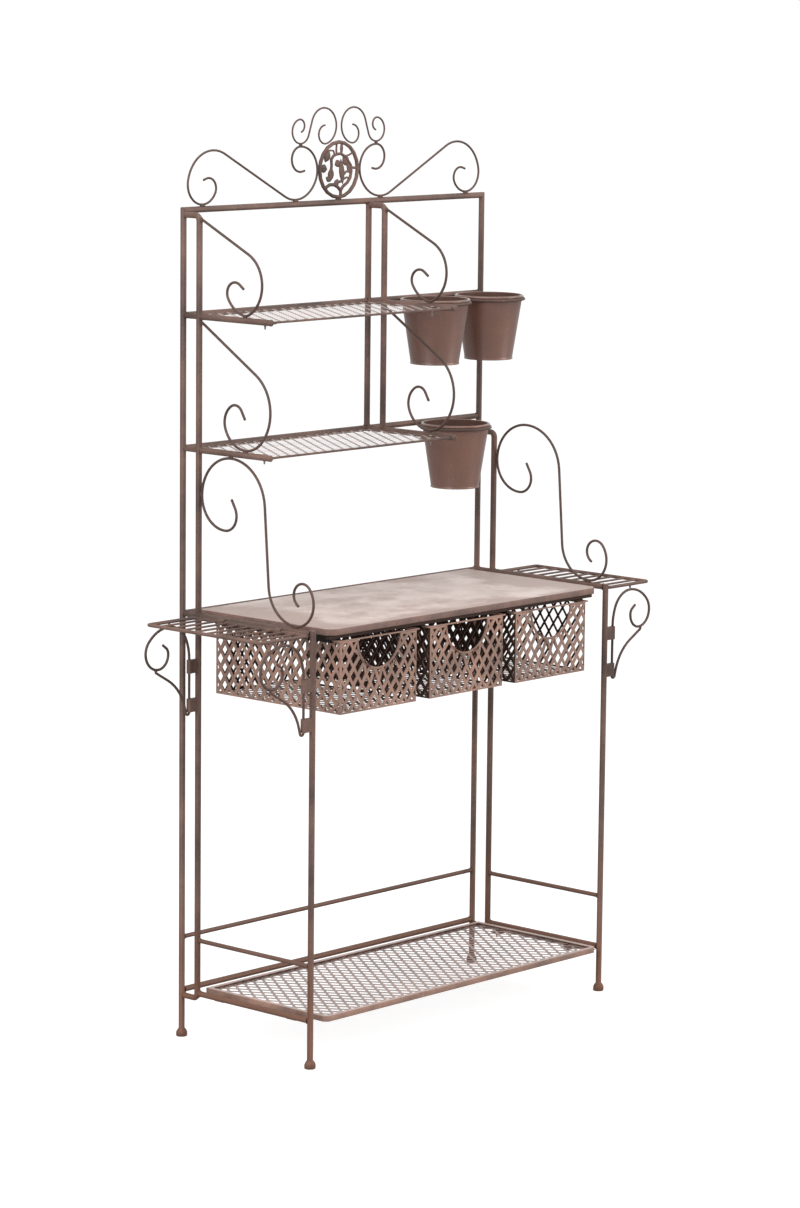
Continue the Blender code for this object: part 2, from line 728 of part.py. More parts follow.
def build_shelves(steel):
    """Two expanded-metal shelves between the arms."""
    low_x = -HALF_WIDTH + TUBE_R + GAP
    high_x = INNER_POST_X - TUBE_R - GAP
    back = BACK_Y - TUBE_R - GAP
    front = BACK_Y - ARM_REACH
    width, depth = high_x - low_x, back - front
    for level, z in (("upper", UPPER_SHELF_Z), ("lower", LOWER_SHELF_Z)):
        outlines = [rectangle(width / 2, depth / 2)] + diamonds(width, depth, 5, 3)
        shelf = plate(f"{level}_shelf", outlines, SHELF_SHEET, steel)
        shelf.location = ((low_x + high_x) / 2, (back + front) / 2, z)


def bottom_shelf_top():
    return BOTTOM_RAIL_Z + TUBE_R


def build_bottom_shelf(steel):
    """An expanded-metal shelf at the foot of a flat bar rim, with its front corners cut."""
    depth = BOTTOM_SHELF_FRONT - BOTTOM_SHELF_BACK
    outline = rectangle(BOTTOM_SHELF_HALF_WIDTH, depth / 2, BOTTOM_SHELF_CORNER_CUT)
    holes = diamonds(2 * BOTTOM_SHELF_HALF_WIDTH, depth, 8, 3)
    shelf = as_mesh(plate("bottom_shelf", [outline], BOTTOM_SHELF_RIM, steel))
    centre = Vector((0.0, BACK_Y - (BOTTOM_SHELF_FRONT + BOTTOM_SHELF_BACK) / 2, 0.0))
    top = bottom_shelf_top()
    shelf.location = centre + Vector((0.0, 0.0, top - BOTTOM_SHELF_RIM / 2))
    inside = rectangle(
        BOTTOM_SHELF_HALF_WIDTH - BOTTOM_SHELF_WALL,
        depth / 2 - BOTTOM_SHELF_WALL,
        BOTTOM_SHELF_CORNER_CUT,
    )
    cut_depth = 2 * (BOTTOM_SHELF_RIM - SHELF_SHEET)
    hollow = as_mesh(plate("bottom_shelf_hollow", [inside], cut_depth, None, "cutters"))
    hollow.location = centre + Vector((0.0, 0.0, top))
    combine(shelf, hollow, "DIFFERENCE")
    punch = as_mesh(plate("bottom_shelf_holes", holes, 4 * BOTTOM_SHELF_RIM, None, "cutters"))
    punch.location = shelf.location
    combine(shelf, punch, "DIFFERENCE")


def build_desk(board, dark):
    """Desk top, the bar under its front edge, and the runners: two whole and two outer halves."""
    back = BACK_Y - TUBE_R - DESK_BACK_SPACE
    depth = back - DESK_FRONT_Y
    outline = rectangle(DESK_HALF_WIDTH, depth / 2, DESK_CORNER_CUT)
    desk = plate("desk_top", [outline], DESK_THICKNESS, board)
    desk.location = (0.0, (back + DESK_FRONT_Y) / 2, DESK_TOP_Z - DESK_THICKNESS / 2)
    under = DESK_UNDER_Z - GAP
    bar_front = DESK_FRONT_Y + FRONT_BAR_SETBACK
    bar_back = bar_front + FRONT_BAR_DEPTH
    bar_end = DESK_HALF_WIDTH - FRONT_BAR_END_SPACE
    box(
        "drawer_front_bar",
        (-bar_end, bar_front, under - FRONT_BAR_HEIGHT),
        (bar_end, bar_back, under),
        dark,
    )
    runner_front = bar_back + GAP
    runner_back = BACK_Y - RUNNER_BACK_SPACE
    low = drawer_top() - DRAWER_RIM - GAP - RUNNER_SHEET
    half = [
        (RUNNER_WEB - RUNNER_SHEET, under - RUNNER_SHEET),
        (RUNNER_WEB - RUNNER_SHEET, low),
        (RUNNER_WEB + RUNNER_LIP, low),
        (RUNNER_WEB + RUNNER_LIP, low + RUNNER_SHEET),
        (RUNNER_WEB, low + RUNNER_SHEET),
        (RUNNER_WEB, under),
    ]
    mirrored = [(-x, z) for x, z in reversed(half)]
    top = [(0.0, under), (0.0, under - RUNNER_SHEET)]
    profiles = (half + top, half + mirrored, half + mirrored, top[::-1] + mirrored)
    for number, profile in enumerate(profiles):
        runner = plate(f"drawer_runner_{number + 1}", [profile], runner_back - runner_front, dark)
        runner.rotation_euler.x = pi / 2
        x = (number - 1.5) * DRAWER_PITCH
        runner.location = (x, (runner_front + runner_back) / 2, 0.0)


def drawer_top():
    """Height of the drawers' rims, just under the front bar."""
    return DESK_UNDER_Z - GAP - FRONT_BAR_HEIGHT - DRAWER_TOP_PLAY


def clear_of_half_moon(x, z, across, up):
    """Whether a diamond of a drawer front stays clear of the half-moon at the top edge."""
    distance = sqrt(x**2 + (DRAWER_HEIGHT / 2 - DRAWER_RIM - z) ** 2)
    return distance > HALF_MOON_R + HALF_MOON_EDGE + (across + up) / 2


def build_drawers(mesh_metal):
    """Three baskets of expanded metal, with a half-moon finger gap in each front."""
    front = DESK_FRONT_Y + DRAWER_SETBACK
    top = drawer_top()
    middle = Vector((0.0, front + DRAWER_DEPTH / 2, top - DRAWER_HEIGHT / 2))
    half = Vector((DRAWER_WIDTH, DRAWER_DEPTH, DRAWER_HEIGHT)) / 2
    sheet = DRAWER_SHEET
    inside = box(
        "drawer_inside",
        (sheet - half.x, sheet - half.y, sheet - half.z),
        (half.x - sheet, half.y - sheet, half.z + sheet),
        None,
        "cutters",
    )
    flange = box(
        "drawer_flange",
        (-half.x - DRAWER_FLANGE, -half.y, half.z - DRAWER_RIM),
        (half.x + DRAWER_FLANGE, half.y, half.z),
        None,
        "cutters",
    )
    ends = diamonds(DRAWER_WIDTH, DRAWER_HEIGHT, 4, 2)
    fronts = diamonds(DRAWER_WIDTH, DRAWER_HEIGHT, 4, 2, clear_of_half_moon)
    sides = diamonds(DRAWER_DEPTH, DRAWER_HEIGHT, 4, 2)
    floor = diamonds(DRAWER_WIDTH, DRAWER_DEPTH, 2, 3)
    moon = [(HALF_MOON_R * cos(a), HALF_MOON_R * sin(a)) for a in arc_angles(pi, 2 * pi, 10)]
    cutters = (
        ("drawer_front_holes", fronts, (0.0, -half.y, 0.0), (pi / 2, 0.0, 0.0), sheet * 4),
        ("drawer_back_holes", ends, (0.0, half.y, 0.0), (pi / 2, 0.0, 0.0), sheet * 4),
        ("drawer_side_holes", sides, (0.0, 0.0, 0.0), (pi / 2, 0.0, pi / 2), DRAWER_WIDTH * 1.2),
        ("drawer_floor_holes", floor, (0.0, 0.0, -half.z), (0.0, 0.0, 0.0), sheet * 4),
        (
            "drawer_half_moon",
            [moon],
            (0.0, -half.y, half.z - DRAWER_RIM),
            (pi / 2, 0.0, 0.0),
            sheet * 4,
        ),
    )
    basket = box("drawer_basket", -half, half, mesh_metal)
    combine(basket, flange, "UNION")
    combine(basket, inside, "DIFFERENCE")
    for name, outlines, place, turn, thickness in cutters:
        cutter = as_mesh(plate(name, outlines, thickness, None, "cutters"))
        cutter.location = place
        cutter.rotation_euler = turn
        combine(basket, cutter, "DIFFERENCE")
    basket = as_mesh(basket)
    basket.name = "drawer_left"
    basket.location = middle - Vector((DRAWER_PITCH, 0.0, 0.0))
    for name, x in (("drawer_middle", 0.0), ("drawer_right", DRAWER_PITCH)):
        add_object(name, basket.data, None, middle + Vector((x, 0.0, 0.0)))


def arc_angles(start, end, steps):
    return [start + (end - start) * k / steps for k in range(steps + 1)]


def build_leaves(steel):
    """Side leaves: a wire frame, cross rods, and two pegs that rest on the swing brackets."""
    length = LEAF_FRONT - LEAF_BACK
    for side, sign in (("left", -1), ("right", 1)):
        axis = Vector((sign * (HALF_WIDTH + LEAF_HINGE_OUT), BACK_Y - LEAF_BACK, LEAF_Z))
        corners = [
            Vector((0.0, -length / 2, 0.0)),
            Vector((0.0, -length, 0.0)),
            Vector((sign * LEAF_WIDTH, -length, 0.0)),
            Vector((sign * LEAF_WIDTH, 0.0, 0.0)),
            Vector((0.0, 0.0, 0.0)),
            Vector((0.0, -length / 2, 0.0)),
        ]
        path = rounded_corners(corners, LEAF_CORNER_R)[:-1]
        frame = tube(f"leaf_{side}", path, LEAF_WIRE_R, steel, WIRE_RESOLUTION, cyclic=True)
        frame.location = axis + path[0]
        frame = as_mesh(frame)
        rods = bpy.data.curves.new(f"leaf_rods_{side}", "CURVE")
        rods.dimensions = "3D"
        rods.bevel_depth = LEAF_ROD_R
        rods.bevel_resolution = WIRE_RESOLUTION
        rods.use_fill_caps = True
        rods.render_resolution_u = 0
        for place in leaf_rod_places():
            spline = rods.splines.new("POLY")
            spline.points.add(1)
            y = LEAF_BACK - place
            spline.points[0].co = (0.0, y, 0.0, 1.0)
            spline.points[1].co = (sign * LEAF_WIDTH, y, 0.0, 1.0)
        for y in (0.0, -length):
            spline = rods.splines.new("POLY")
            spline.points.add(1)
            spline.points[0].co = (sign * LEAF_PEG_PLACE, y, 0.0, 1.0)
            spline.points[1].co = (sign * LEAF_PEG_PLACE, y, -LEAF_PEG_DROP, 1.0)
        rod_group = as_mesh(add_object(f"leaf_rods_{side}", rods, steel, axis))
        combine(frame, rod_group, "UNION")


def build_brackets(iron):
    """Four swing brackets, each one bent bar with its origin on the axis of its sleeves."""
    apex = LEAF_Z - LEAF_PEG_DROP - GAP - BRACKET_R
    lean_r, shoulder_r = BRACKET_SHOULDER_RADII
    lean = 22
    rise = lean_r * sin(radians(lean)) + shoulder_r * (1 - sin(radians(lean)))
    front = Wire((0.0, BRACKET_BOTTOM_Z), 90.0).forward(apex - rise - BRACKET_BOTTOM_Z)
    front.bend(lean_r, -lean).bend(shoulder_r, lean - 90)
    fall_r, curl_r, inner_r, tip_r = BRACKET_CURL_RADII
    front.bend(fall_r, -50)
    curl = front.points[-1] + front.side_of(-1) * curl_r
    front.bend(curl_r, -125).bend(inner_r, -100).bend(tip_r, -48).forward(BRACKET_CURL_END)
    weld_r = curl_r + 2 * BRACKET_R + GAP
    weld = curl + Vector((cos(radians(-80)), sin(radians(-80)))) * weld_r
    back = Wire((0.0, BRACKET_BOTTOM_Z), -90.0).bend(BRACKET_HAIRPIN_R, 165)
    back.forward(BRACKET_TAIL).bend_towards(BRACKET_BRACE_R, -1, weld)
    path = joined(back, front)
    places = (("rear", POST_Y), ("front", FRONT_Y))
    for depth, y in places:
        for side, sign in (("left", -1), ("right", 1)):
            x = sign * (HALF_WIDTH + BRACKET_OUT)
            points = [Vector((sign * u, 0.0, z)) for u, z in path]
            bracket = tube(
                f"bracket_{depth}_{side}", points, BRACKET_R, iron, WIRE_RESOLUTION
            )
            shift_origin(bracket, Vector((x, y, 0.0)))


def shift_origin(curve_object, axis):
    """Keep a curve's shape, but put its origin on an axis, with its points measured from there."""
    offset = curve_object.location.copy()
    for spline in curve_object.data.splines:
        for knot in spline.points:
            knot.co = (*(Vector(knot.co[:3]) + offset), 1.0)
    curve_object.location = axis


def build_pots(steel, clay):
    """Three pots, each hung by its bead in a ring of round bar on a shelf rail."""
    wall_r = POT_R - POT_BEAD_R
    taper = (wall_r - POT_FOOT_R) / POT_HEIGHT
    ring_out = RING_WIRE_R + SLEEVE_PLAY
    ring_r = wall_r + ring_out
    contact = POT_BEAD_R + RING_WIRE_R + GAP
    ring_z = -POT_BEAD_R - sqrt(contact**2 - ring_out**2)
    bead = [
        (wall_r + POT_BEAD_R * sin(a), -POT_BEAD_R + POT_BEAD_R * cos(a))
        for a in arc_angles(-pi / 2, pi, 5)
    ]
    sheet = POT_SHEET
    profile = (
        [(0.0, -POT_HEIGHT + sheet), (POT_FOOT_R - sheet, -POT_HEIGHT + sheet)]
        + bead
        + [
            (POT_FOOT_R + taper * 2 * POT_FOOT_LIP, -POT_HEIGHT + 2 * POT_FOOT_LIP),
            (POT_FOOT_R + POT_FOOT_LIP, -POT_HEIGHT + POT_FOOT_LIP),
            (POT_FOOT_R, -POT_HEIGHT),
            (0.0, -POT_HEIGHT),
        ]
    )
    places = (
        ("upper_left", INNER_POST_X + UPPER_POT_LEFT_SPACE, UPPER_SHELF_Z),
        ("upper_right", HALF_WIDTH - UPPER_POT_RIGHT_SPACE, UPPER_SHELF_Z),
        ("lower", INNER_POST_X + LOWER_POT_LEFT_SPACE, LOWER_SHELF_Z),
    )
    reach = sqrt((TUBE_R + RING_WIRE_R + GAP) ** 2 - RING_DROP**2)
    y = BACK_Y - reach - ring_r
    for name, x, rail_z in places:
        z = rail_z - RING_DROP
        loop = [Vector((x + u, y + v, z)) for u, v in circle(ring_r, POT_STEPS)]
        tube(f"ring_{name}", loop, RING_WIRE_R, steel, WIRE_RESOLUTION, cyclic=True)
        pot = turned(f"pot_{name}", profile, POT_STEPS, clay)
        pot.location = (x, y, z - ring_z)


def shade_round_pieces():
    """Smooth shading on meshes, with sharp edges where faces meet at a wide angle."""
    for obj in COLLECTIONS["object"].objects:
        if obj.type == "MESH":
            obj.data.shade_smooth()
            obj.data.set_sharp_from_angle(angle=radians(40))


COLLECTIONS = {}


def main():
    clear_scene()
    steel = metal("brown_painted_steel", (0.16, 0.105, 0.085), 0.55, 0.35)
    iron = metal("dark_scroll_iron", (0.10, 0.075, 0.068), 0.5, 0.4)
    mesh_metal = metal("expanded_metal", (0.20, 0.125, 0.095), 0.55, 0.35)
    board = metal("worn_desk_sheet", (0.45, 0.36, 0.30), 0.5, 0.1)
    dark = metal("black_steel", (0.02, 0.018, 0.017), 0.5, 0.3)
    clay = metal("brown_pot_enamel", (0.18, 0.095, 0.07), 0.5, 0.15)
    build_back_frame(steel)
    build_side_frames(steel)
    build_arms(steel)
    build_side_scrolls(iron)
    build_crest(iron)
    build_shelves(steel)
    build_bottom_shelf(steel)
    build_desk(board, dark)
    build_drawers(mesh_metal)
    build_leaves(steel)
    build_brackets(iron)
    build_pots(steel, clay)
    shade_round_pieces()


main()
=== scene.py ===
"""Plant rack: the look of every piece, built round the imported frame.

Metres, +Z up, +X to the rack's right, front towards -Y, as in the frame.
"""

import json
from functools import partial
from math import atan2, ceil, cos, degrees, pi, radians, sin, sqrt

import bmesh
import bpy
from bpy.props import FloatProperty, FloatVectorProperty, IntProperty, PointerProperty
from mathutils import Matrix, Vector


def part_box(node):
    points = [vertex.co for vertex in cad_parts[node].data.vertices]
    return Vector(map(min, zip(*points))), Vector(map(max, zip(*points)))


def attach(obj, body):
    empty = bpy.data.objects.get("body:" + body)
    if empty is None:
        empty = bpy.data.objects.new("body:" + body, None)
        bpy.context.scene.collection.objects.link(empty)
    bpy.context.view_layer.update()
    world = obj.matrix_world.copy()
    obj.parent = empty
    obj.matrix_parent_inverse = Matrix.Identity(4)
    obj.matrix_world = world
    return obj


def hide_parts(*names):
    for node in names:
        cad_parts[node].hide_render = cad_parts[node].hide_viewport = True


bl_info = {
    "name": "Plant Rack",
    "version": (1, 0, 0),
    "blender": (4, 5, 0),
    "location": "View3D > Sidebar > Plant Rack",
    "description": "Builds the tubes, scrolls, mesh, desk, pots and stage of a plant rack",
    "category": "Object",
}

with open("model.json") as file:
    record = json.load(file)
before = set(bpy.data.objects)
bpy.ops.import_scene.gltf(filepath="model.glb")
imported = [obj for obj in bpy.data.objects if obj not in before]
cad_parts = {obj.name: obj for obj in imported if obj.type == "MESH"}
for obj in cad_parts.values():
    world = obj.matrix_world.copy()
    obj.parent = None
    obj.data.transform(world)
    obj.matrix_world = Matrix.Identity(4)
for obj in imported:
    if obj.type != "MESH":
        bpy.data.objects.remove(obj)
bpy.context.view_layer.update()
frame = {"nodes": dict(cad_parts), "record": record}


def low_of(node):
    return Vector(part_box(node)[0])


def high_of(node):
    return Vector(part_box(node)[1])


def middle_of(node):
    return (low_of(node) + high_of(node)) / 2


def corners(node):
    return low_of(node), high_of(node)


# The camera of the photograph
CAMERA_PLACE = (-5.9281, -5.4137, 2.0662)
CAMERA_YAW = 47.596
CAMERA_PITCH = 8.803
CAMERA_ROLL = 0.599
CAMERA_LENS = 123.51
CAMERA_SENSOR = 36.0

# The studio, with each lamp as a name, place, point aimed at, width and power
LAMPS = (
    ("left softbox", (-3.6, -0.6, 2.4), (0.0, 0.0, 0.9), 2.4, 78.0),
    ("right softbox", (2.4, -3.2, 2.2), (0.0, 0.0, 0.9), 2.2, 60.0),
    ("top softbox", (-0.6, -0.8, 3.9), (0.0, 0.0, 0.8), 2.6, 40.0),
)
WHITE = (1.0, 1.0, 1.0, 1.0)
BLACK = (0.0, 0.0, 0.0, 1.0)
FLOOR_GREY = (0.5, 0.5, 0.5, 1.0)
FLOOR_GLOW = 0.66
FLOOR_SIZE = 30.0
WORLD_LIGHT = 0.72

# Wires, tubes and clearances that the frame doesn't give
GAP = 0.0003
STUB_R = 0.0055
PLUG = 0.003
SCROLL_R = 0.0026
CREST_WIRE_R = 0.0022
CURL_WIRE_R = 0.0018
LEAF_WIRE_R = 0.0035
LEAF_ROD_R = 0.0021
RING_WIRE_R = 0.003
MEDALLION_RING_R = 0.0038

# Shelves and desk: borders, cut corners, sheets, eased edges and the lean of the mesh strands
SHELF_BORDER = 0.005
SHELF_LEAN = 0.12
SHELF_LIP = 0.009
SHELF_CORNER_CUT = 0.008
RIM_SHEET = 0.0016
RIM_EDGE = 0.0005
BOTTOM_LEAN = 0.08
DESK_CORNER_CUT = 0.014
DESK_EDGE = 0.0016

# Drawers
DRAWER_SHEET = 0.0016
DRAWER_RIM = 0.003
DRAWER_FLANGE = 0.007
DRAWER_LEAN = 0.3
HALF_MOON_R = 0.060
HALF_MOON_BAND = 0.003
HALF_MOON_REACH = 0.012

# Side leaves
LEAF_CORNER_R = 0.006
LEAF_RODS = 9
LEAF_ROD_BEAD = 0.0009
LEAF_PEG_PLACE = 0.067
LEAF_PEG_DROP = 0.0075

# Pots
POT_SHEET = 0.0015
POT_BEAD_R = 0.003
POT_FOOT_LIP = 0.0015
POT_FOOT_SHARE = 0.716
POT_SIDES = 72

# Screws: through the arms' tabs, and under the desk and the bottom shelf
SCREW_R = 0.0017
SCREW_HEAD = (0.0038, 0.0038, 0.0016)
SCREW_EASE = 0.0004
NUT_R = 0.0036
NUT_TALL = 0.0028
COLLAR_R = 0.0024
COLLAR_UP = 0.007
ARM_SCREW_IN = 0.024
ARM_SCREW_BACK = 0.193
ARM_SCREW_DROP = 0.014
TAB_SCREW_IN = 0.055
TAB_SCREW_DROP = 0.012
TAB_SHEET = 0.0035
DESK_SCREW_IN = 0.042
BOTTOM_SCREW_IN = 0.033

# Spot welds, as half sizes along x, y and z
ARM_WELD = (0.0032, 0.0055, 0.0022)
POST_WELD = (0.0032, 0.0022, 0.0055)
RAIL_WELD = (0.0065, 0.0035, 0.003)
CURL_WELD = (0.0042, 0.0028, 0.0022)
MEDALLION_WELD = (0.0026, 0.003, 0.008)
MEDALLION_FOOT = (0.008, 0.0035, 0.003)
BRACKET_WELD = (0.003, 0.003, 0.0026)
RING_WELD = (0.008, 0.003, 0.003)
RING_WELD_UP = 0.002

# Places and radii read from the frame
BACK_Y = middle_of("upper_shelf_rail").y
HALF_WIDTH = middle_of("rear_leg_right").x
INNER_POST_X = middle_of("inner_rear_post_upper").x
FRONT_Y = middle_of("front_leg_left").y
TUBE_R = (high_of("upper_shelf_rail").z - low_of("upper_shelf_rail").z) / 2
THIN_TUBE_R = (high_of("lower_back_rail").z - low_of("lower_back_rail").z) / 2
POST_Y = high_of("upper_arm_left").y + GAP + TUBE_R
WIRE_ON_TUBE = TUBE_R + GAP + SCROLL_R
POST_FACE = BACK_Y - POST_Y + WIRE_ON_TUBE
TOP_Z = middle_of("top_rail").z
UPPER_SHELF_Z = middle_of("upper_shelf_rail").z
LOWER_SHELF_Z = middle_of("lower_shelf_rail").z
DESK_RAIL_Z = middle_of("desk_rear_rail").z
MEDALLION_R = (high_of("medallion").x - low_of("medallion").x) / 2
LEAF_Z = high_of("leaf_left").z - LEAF_WIRE_R
LEAF_HINGE_X = low_of("leaf_right").x + LEAF_WIRE_R
BRACKET_X = low_of("bracket_rear_right").x + SCROLL_R

# Names, sides and directions
X_AXIS, Y_AXIS, Z_AXIS = (1.0, 0.0, 0.0), (0.0, 1.0, 0.0), (0.0, 0.0, 1.0)
UP, DOWN, BACK = Vector((0.0, 1.0)), Vector((0.0, -1.0)), Vector((-1.0, 0.0))
SIDES = (("left", -1), ("right", 1))
ARM_SIDES = (("left", -HALF_WIDTH), ("inner", INNER_POST_X))
DRAWER_NEIGHBOURS = {"left": (1,), "middle": (-1, 1), "right": (-1,)}
NOT_TUBES = ("scroll", "crest", "medallion", "shelf", "desk_top", "drawer", "ring")
BACK_RAILS = ("upper_shelf_rail", "lower_shelf_rail", "desk_rear_rail", "lower_back_rail", "bottom_rear_rail")
SIDE_RAILS = (
    ("desk", DESK_RAIL_Z, TUBE_R),
    ("mid", middle_of("mid_side_rail_left").z, THIN_TUBE_R),
    ("bottom", middle_of("bottom_rear_rail").z, TUBE_R),
)

# Scrolls over the arms: their seat on the arm, where they start on the post, the curl's bends and tip,
# the stem's first bend, and the radius that turns the stem to the post. A bend is a radius and degrees.
ARM_SCROLLS = {
    "upper": (
        (0.164, UPPER_SHELF_Z + WIRE_ON_TUBE),
        (POST_FACE, TOP_Z - 0.016),
        ((0.024, -13), (0.061, -47), (0.021, -157)),
        0.012,
        (0.024, 29),
        0.063,
    ),
    "lower": (
        (0.167, LOWER_SHELF_Z + WIRE_ON_TUBE),
        (POST_FACE, UPPER_SHELF_Z - TUBE_R - 2 * SCROLL_R - GAP),
        ((0.057, -70), (0.0365, -77), (0.020, -93)),
        0.018,
        (0.057, 45),
        0.082,
    ),
}

# Scrolls beside the desk
BIG_CURL_R = 0.0765
BIG_SWEEP_R = 0.090
BIG_FOOT_X = 0.301
BIG_FOOT_R = 0.072
BIG_TOP_CURL, BIG_TOP_TIP = ((0.062, 90), (0.030, 120)), 0.018
BIG_FOOT_CURL, BIG_FOOT_TIP = ((0.045, 130), (0.023, 195)), 0.003

# Crest: the scrolls on the top rail, and the curls that stand on them
CREST_CURL_X = 0.375
CREST_SWEEP_R = 0.068
CREST_INNER_R, CREST_MIDDLE_R, CREST_INNER_TURN = 0.0625, 0.047, 63.0
CREST_FOOT_BEND = (0.039, -101)
CREST_INNER_CURL, CREST_INNER_TIP = ((CREST_MIDDLE_R, 180 - CREST_INNER_TURN), (0.0245, 193)), 0.006
CREST_OUTER_CURL, CREST_OUTER_TIP = ((0.039, 60), (0.020, 138)), 0.008
CURL_SEAT_BEND, CURL_RUN = (0.0235, 71), 0.030
CURL_TOP = ((0.035, -239), (0.018, -190))
CURL_OUTER, CURL_OUTER_TIP = ((0.0235, -169), (0.0125, -165)), 0.002

# Swing brackets: the back leans out, turns over its shoulder and ends in a curl, and the hairpin at its
# foot comes back up as the brace
BRACKET_LEAN, BRACKET_LEAN_R, BRACKET_SHOULDER_R = 22, 0.100, 0.0505
BRACKET_BROW = (0.070, -50)
BRACKET_CURL_R = 0.033
BRACKET_CURL, BRACKET_TIP = ((BRACKET_CURL_R, -125), (0.027, -100), (0.014, -48)), 0.011
BRACKET_HAIRPIN_R, BRACKET_HAIRPIN_TURN, BRACKET_HAIRPIN_RUN = 0.0045, 165, 0.012
BRACKET_BRACE_R = 0.094
BRACKET_WELD_AT = radians(-80)

# The vine in the medallion: stems as a radius and points in mm, leaves as place, heading, length and width
VINE_STEMS = (
    (0.0031, (6, -50), (6, -41), (13, -33), (25, -26), (33, -17), (36, -4)),
    (0.0031, (36, -4), (34, 8), (26, 17), (16, 26), (6, 31)),
    (0.0029, (6, 31), (-6, 30), (-15, 27), (-21, 20), (-20, 8), (-22, -4)),
    (0.0034, (6, -41), (-2, -34), (-13, -29), (-25, -29), (-38, -35)),
    (0.0020, (-6, 51), (-7, 38), (-6, 30)),
    (0.0020, (20, 26), (30, 28), (42, 33)),
    (0.0026, (36, 3), (50, 2)),
    (0.0026, (-52, 5), (-40, 4)),
    (0.0021, (13, -12), (22, -4), (34, -6)),
    (0.0021, (12, -20), (22, -16), (33, -17)),
    (0.0029, (12, -22), (-4, -25), (-10, -29)),
    (0.0018, (-34, 34), (-25, 38), (-15, 37), (-12, 30)),
)
VINE_LEAVES = (
    (8, 41, 88, 27, 9),
    (20, 17, 125, 27, 20),
    (30, 4, 100, 27, 15),
    (9, -4, 97, 52, 16),
    (-3, 12, 20, 18, 16),
    (-33, 27, 65, 27, 20),
    (-42, 3, 170, 20, 18),
    (-22, -9, 82, 29, 18),
    (-29, -18, 150, 17, 12),
    (-6, -26, 60, 18, 14),
)
VINE_LEAF_THICK = 0.0038
VINE_LEAF_TAPER = 0.75


def metres(name, description, default):
    return FloatProperty(name=name, description=description, default=default, unit="LENGTH")


def shade(name, description, default):
    return FloatVectorProperty(name=name, description=description, default=default, subtype="COLOR")


class RackSizes(bpy.types.PropertyGroup):
    """Sizes of the fine pieces"""

    bend_step: FloatProperty(
        name="Bend step", description="Angle between facets of a bend", default=radians(7.0), subtype="ANGLE"
    )
    wire_sides: IntProperty(name="Wire sides", description="Sides of a round wire", default=12, min=6)
    mesh_wide: metres("Mesh width", "Width of one diamond of the drawers", 0.0232)
    shelf_wide: metres("Shelf mesh width", "Width of one diamond of the shelves", 0.0246)
    mesh_tall: metres("Mesh length", "Length of one diamond of the mesh", 0.034)
    strand: metres("Strand", "Width of one strand of the drawers", 0.0065)
    strand_sheet: metres("Strand sheet", "Thickness of one strand of the drawers", 0.0014)
    thin_strand: metres("Thin strand", "Width of a strand at the back of a drawer", 0.0044)
    floor_strand: metres("Floor strand", "Width of a strand of a drawer's floor", 0.0052)
    floor_sheet: metres("Floor sheet", "Thickness of a strand of a drawer's floor", 0.001)
    shelf_strand: metres("Shelf strand", "Width of a strand of the shelves", 0.0046)
    shelf_sheet: metres("Shelf sheet", "Thickness of a strand of the shelves", 0.0004)
    bottom_sheet: metres("Bottom sheet", "Thickness of a strand of the bottom shelf", 0.0012)
    bead: metres("Weld bead", "Radius of the bead where tubes meet", 0.0012)


class RackColours(bpy.types.PropertyGroup):
    """Colours of the paints, as linear values"""

    tube: shade("Tube paint", "Brown paint of the tubes", (0.163, 0.096, 0.076))
    rust: shade("Rust", "Warmer paint of the tubes near the floor", (0.19, 0.088, 0.054))
    scroll: shade("Scroll paint", "Paint of the bent wires", (0.108, 0.062, 0.050))
    basket: shade("Basket paint", "Paint of the drawers and the bottom shelf's rim", (0.37, 0.220, 0.168))
    # Painted shade: a dark brown that stands in for the shade inside the drawers and between neighbouring
    # drawers
    inside: shade("Basket painted shade", "Painted shade inside the drawers and between them", (0.07, 0.04, 0.031))
    # Partly painted reflection: the shelves' brown paint, lightened and greyed towards white for the light
    # the mesh strands reflect
    shelf: shade("Shelf paint and highlight", "Paint of the shelves' mesh", (0.38, 0.27, 0.24))
    # Painted highlight: a lighter brown for the rim's top, where the light falls from above
    lip: shade("Lit lip paint", "Painted highlight on the top of the bottom shelf's rim", (0.50, 0.36, 0.32))
    black: shade("Black steel", "Drawer runners", (0.020, 0.013, 0.011))
    desk: shade("Desk pale top", "Pale paint of the desk", (0.585, 0.49, 0.45))
    desk_brown: shade("Desk brown", "Brown of the desk's edges and patches", (0.24, 0.145, 0.118))
    pot: shade("Pot paint", "Reddish brown of the pots", (0.205, 0.099, 0.070))
    pin: shade("Pin steel", "Pins and screws under the arms", (0.33, 0.26, 0.23))


def colours():
    return bpy.context.scene.plant_rack_colours


def sizes():
    return bpy.context.scene.plant_rack_sizes


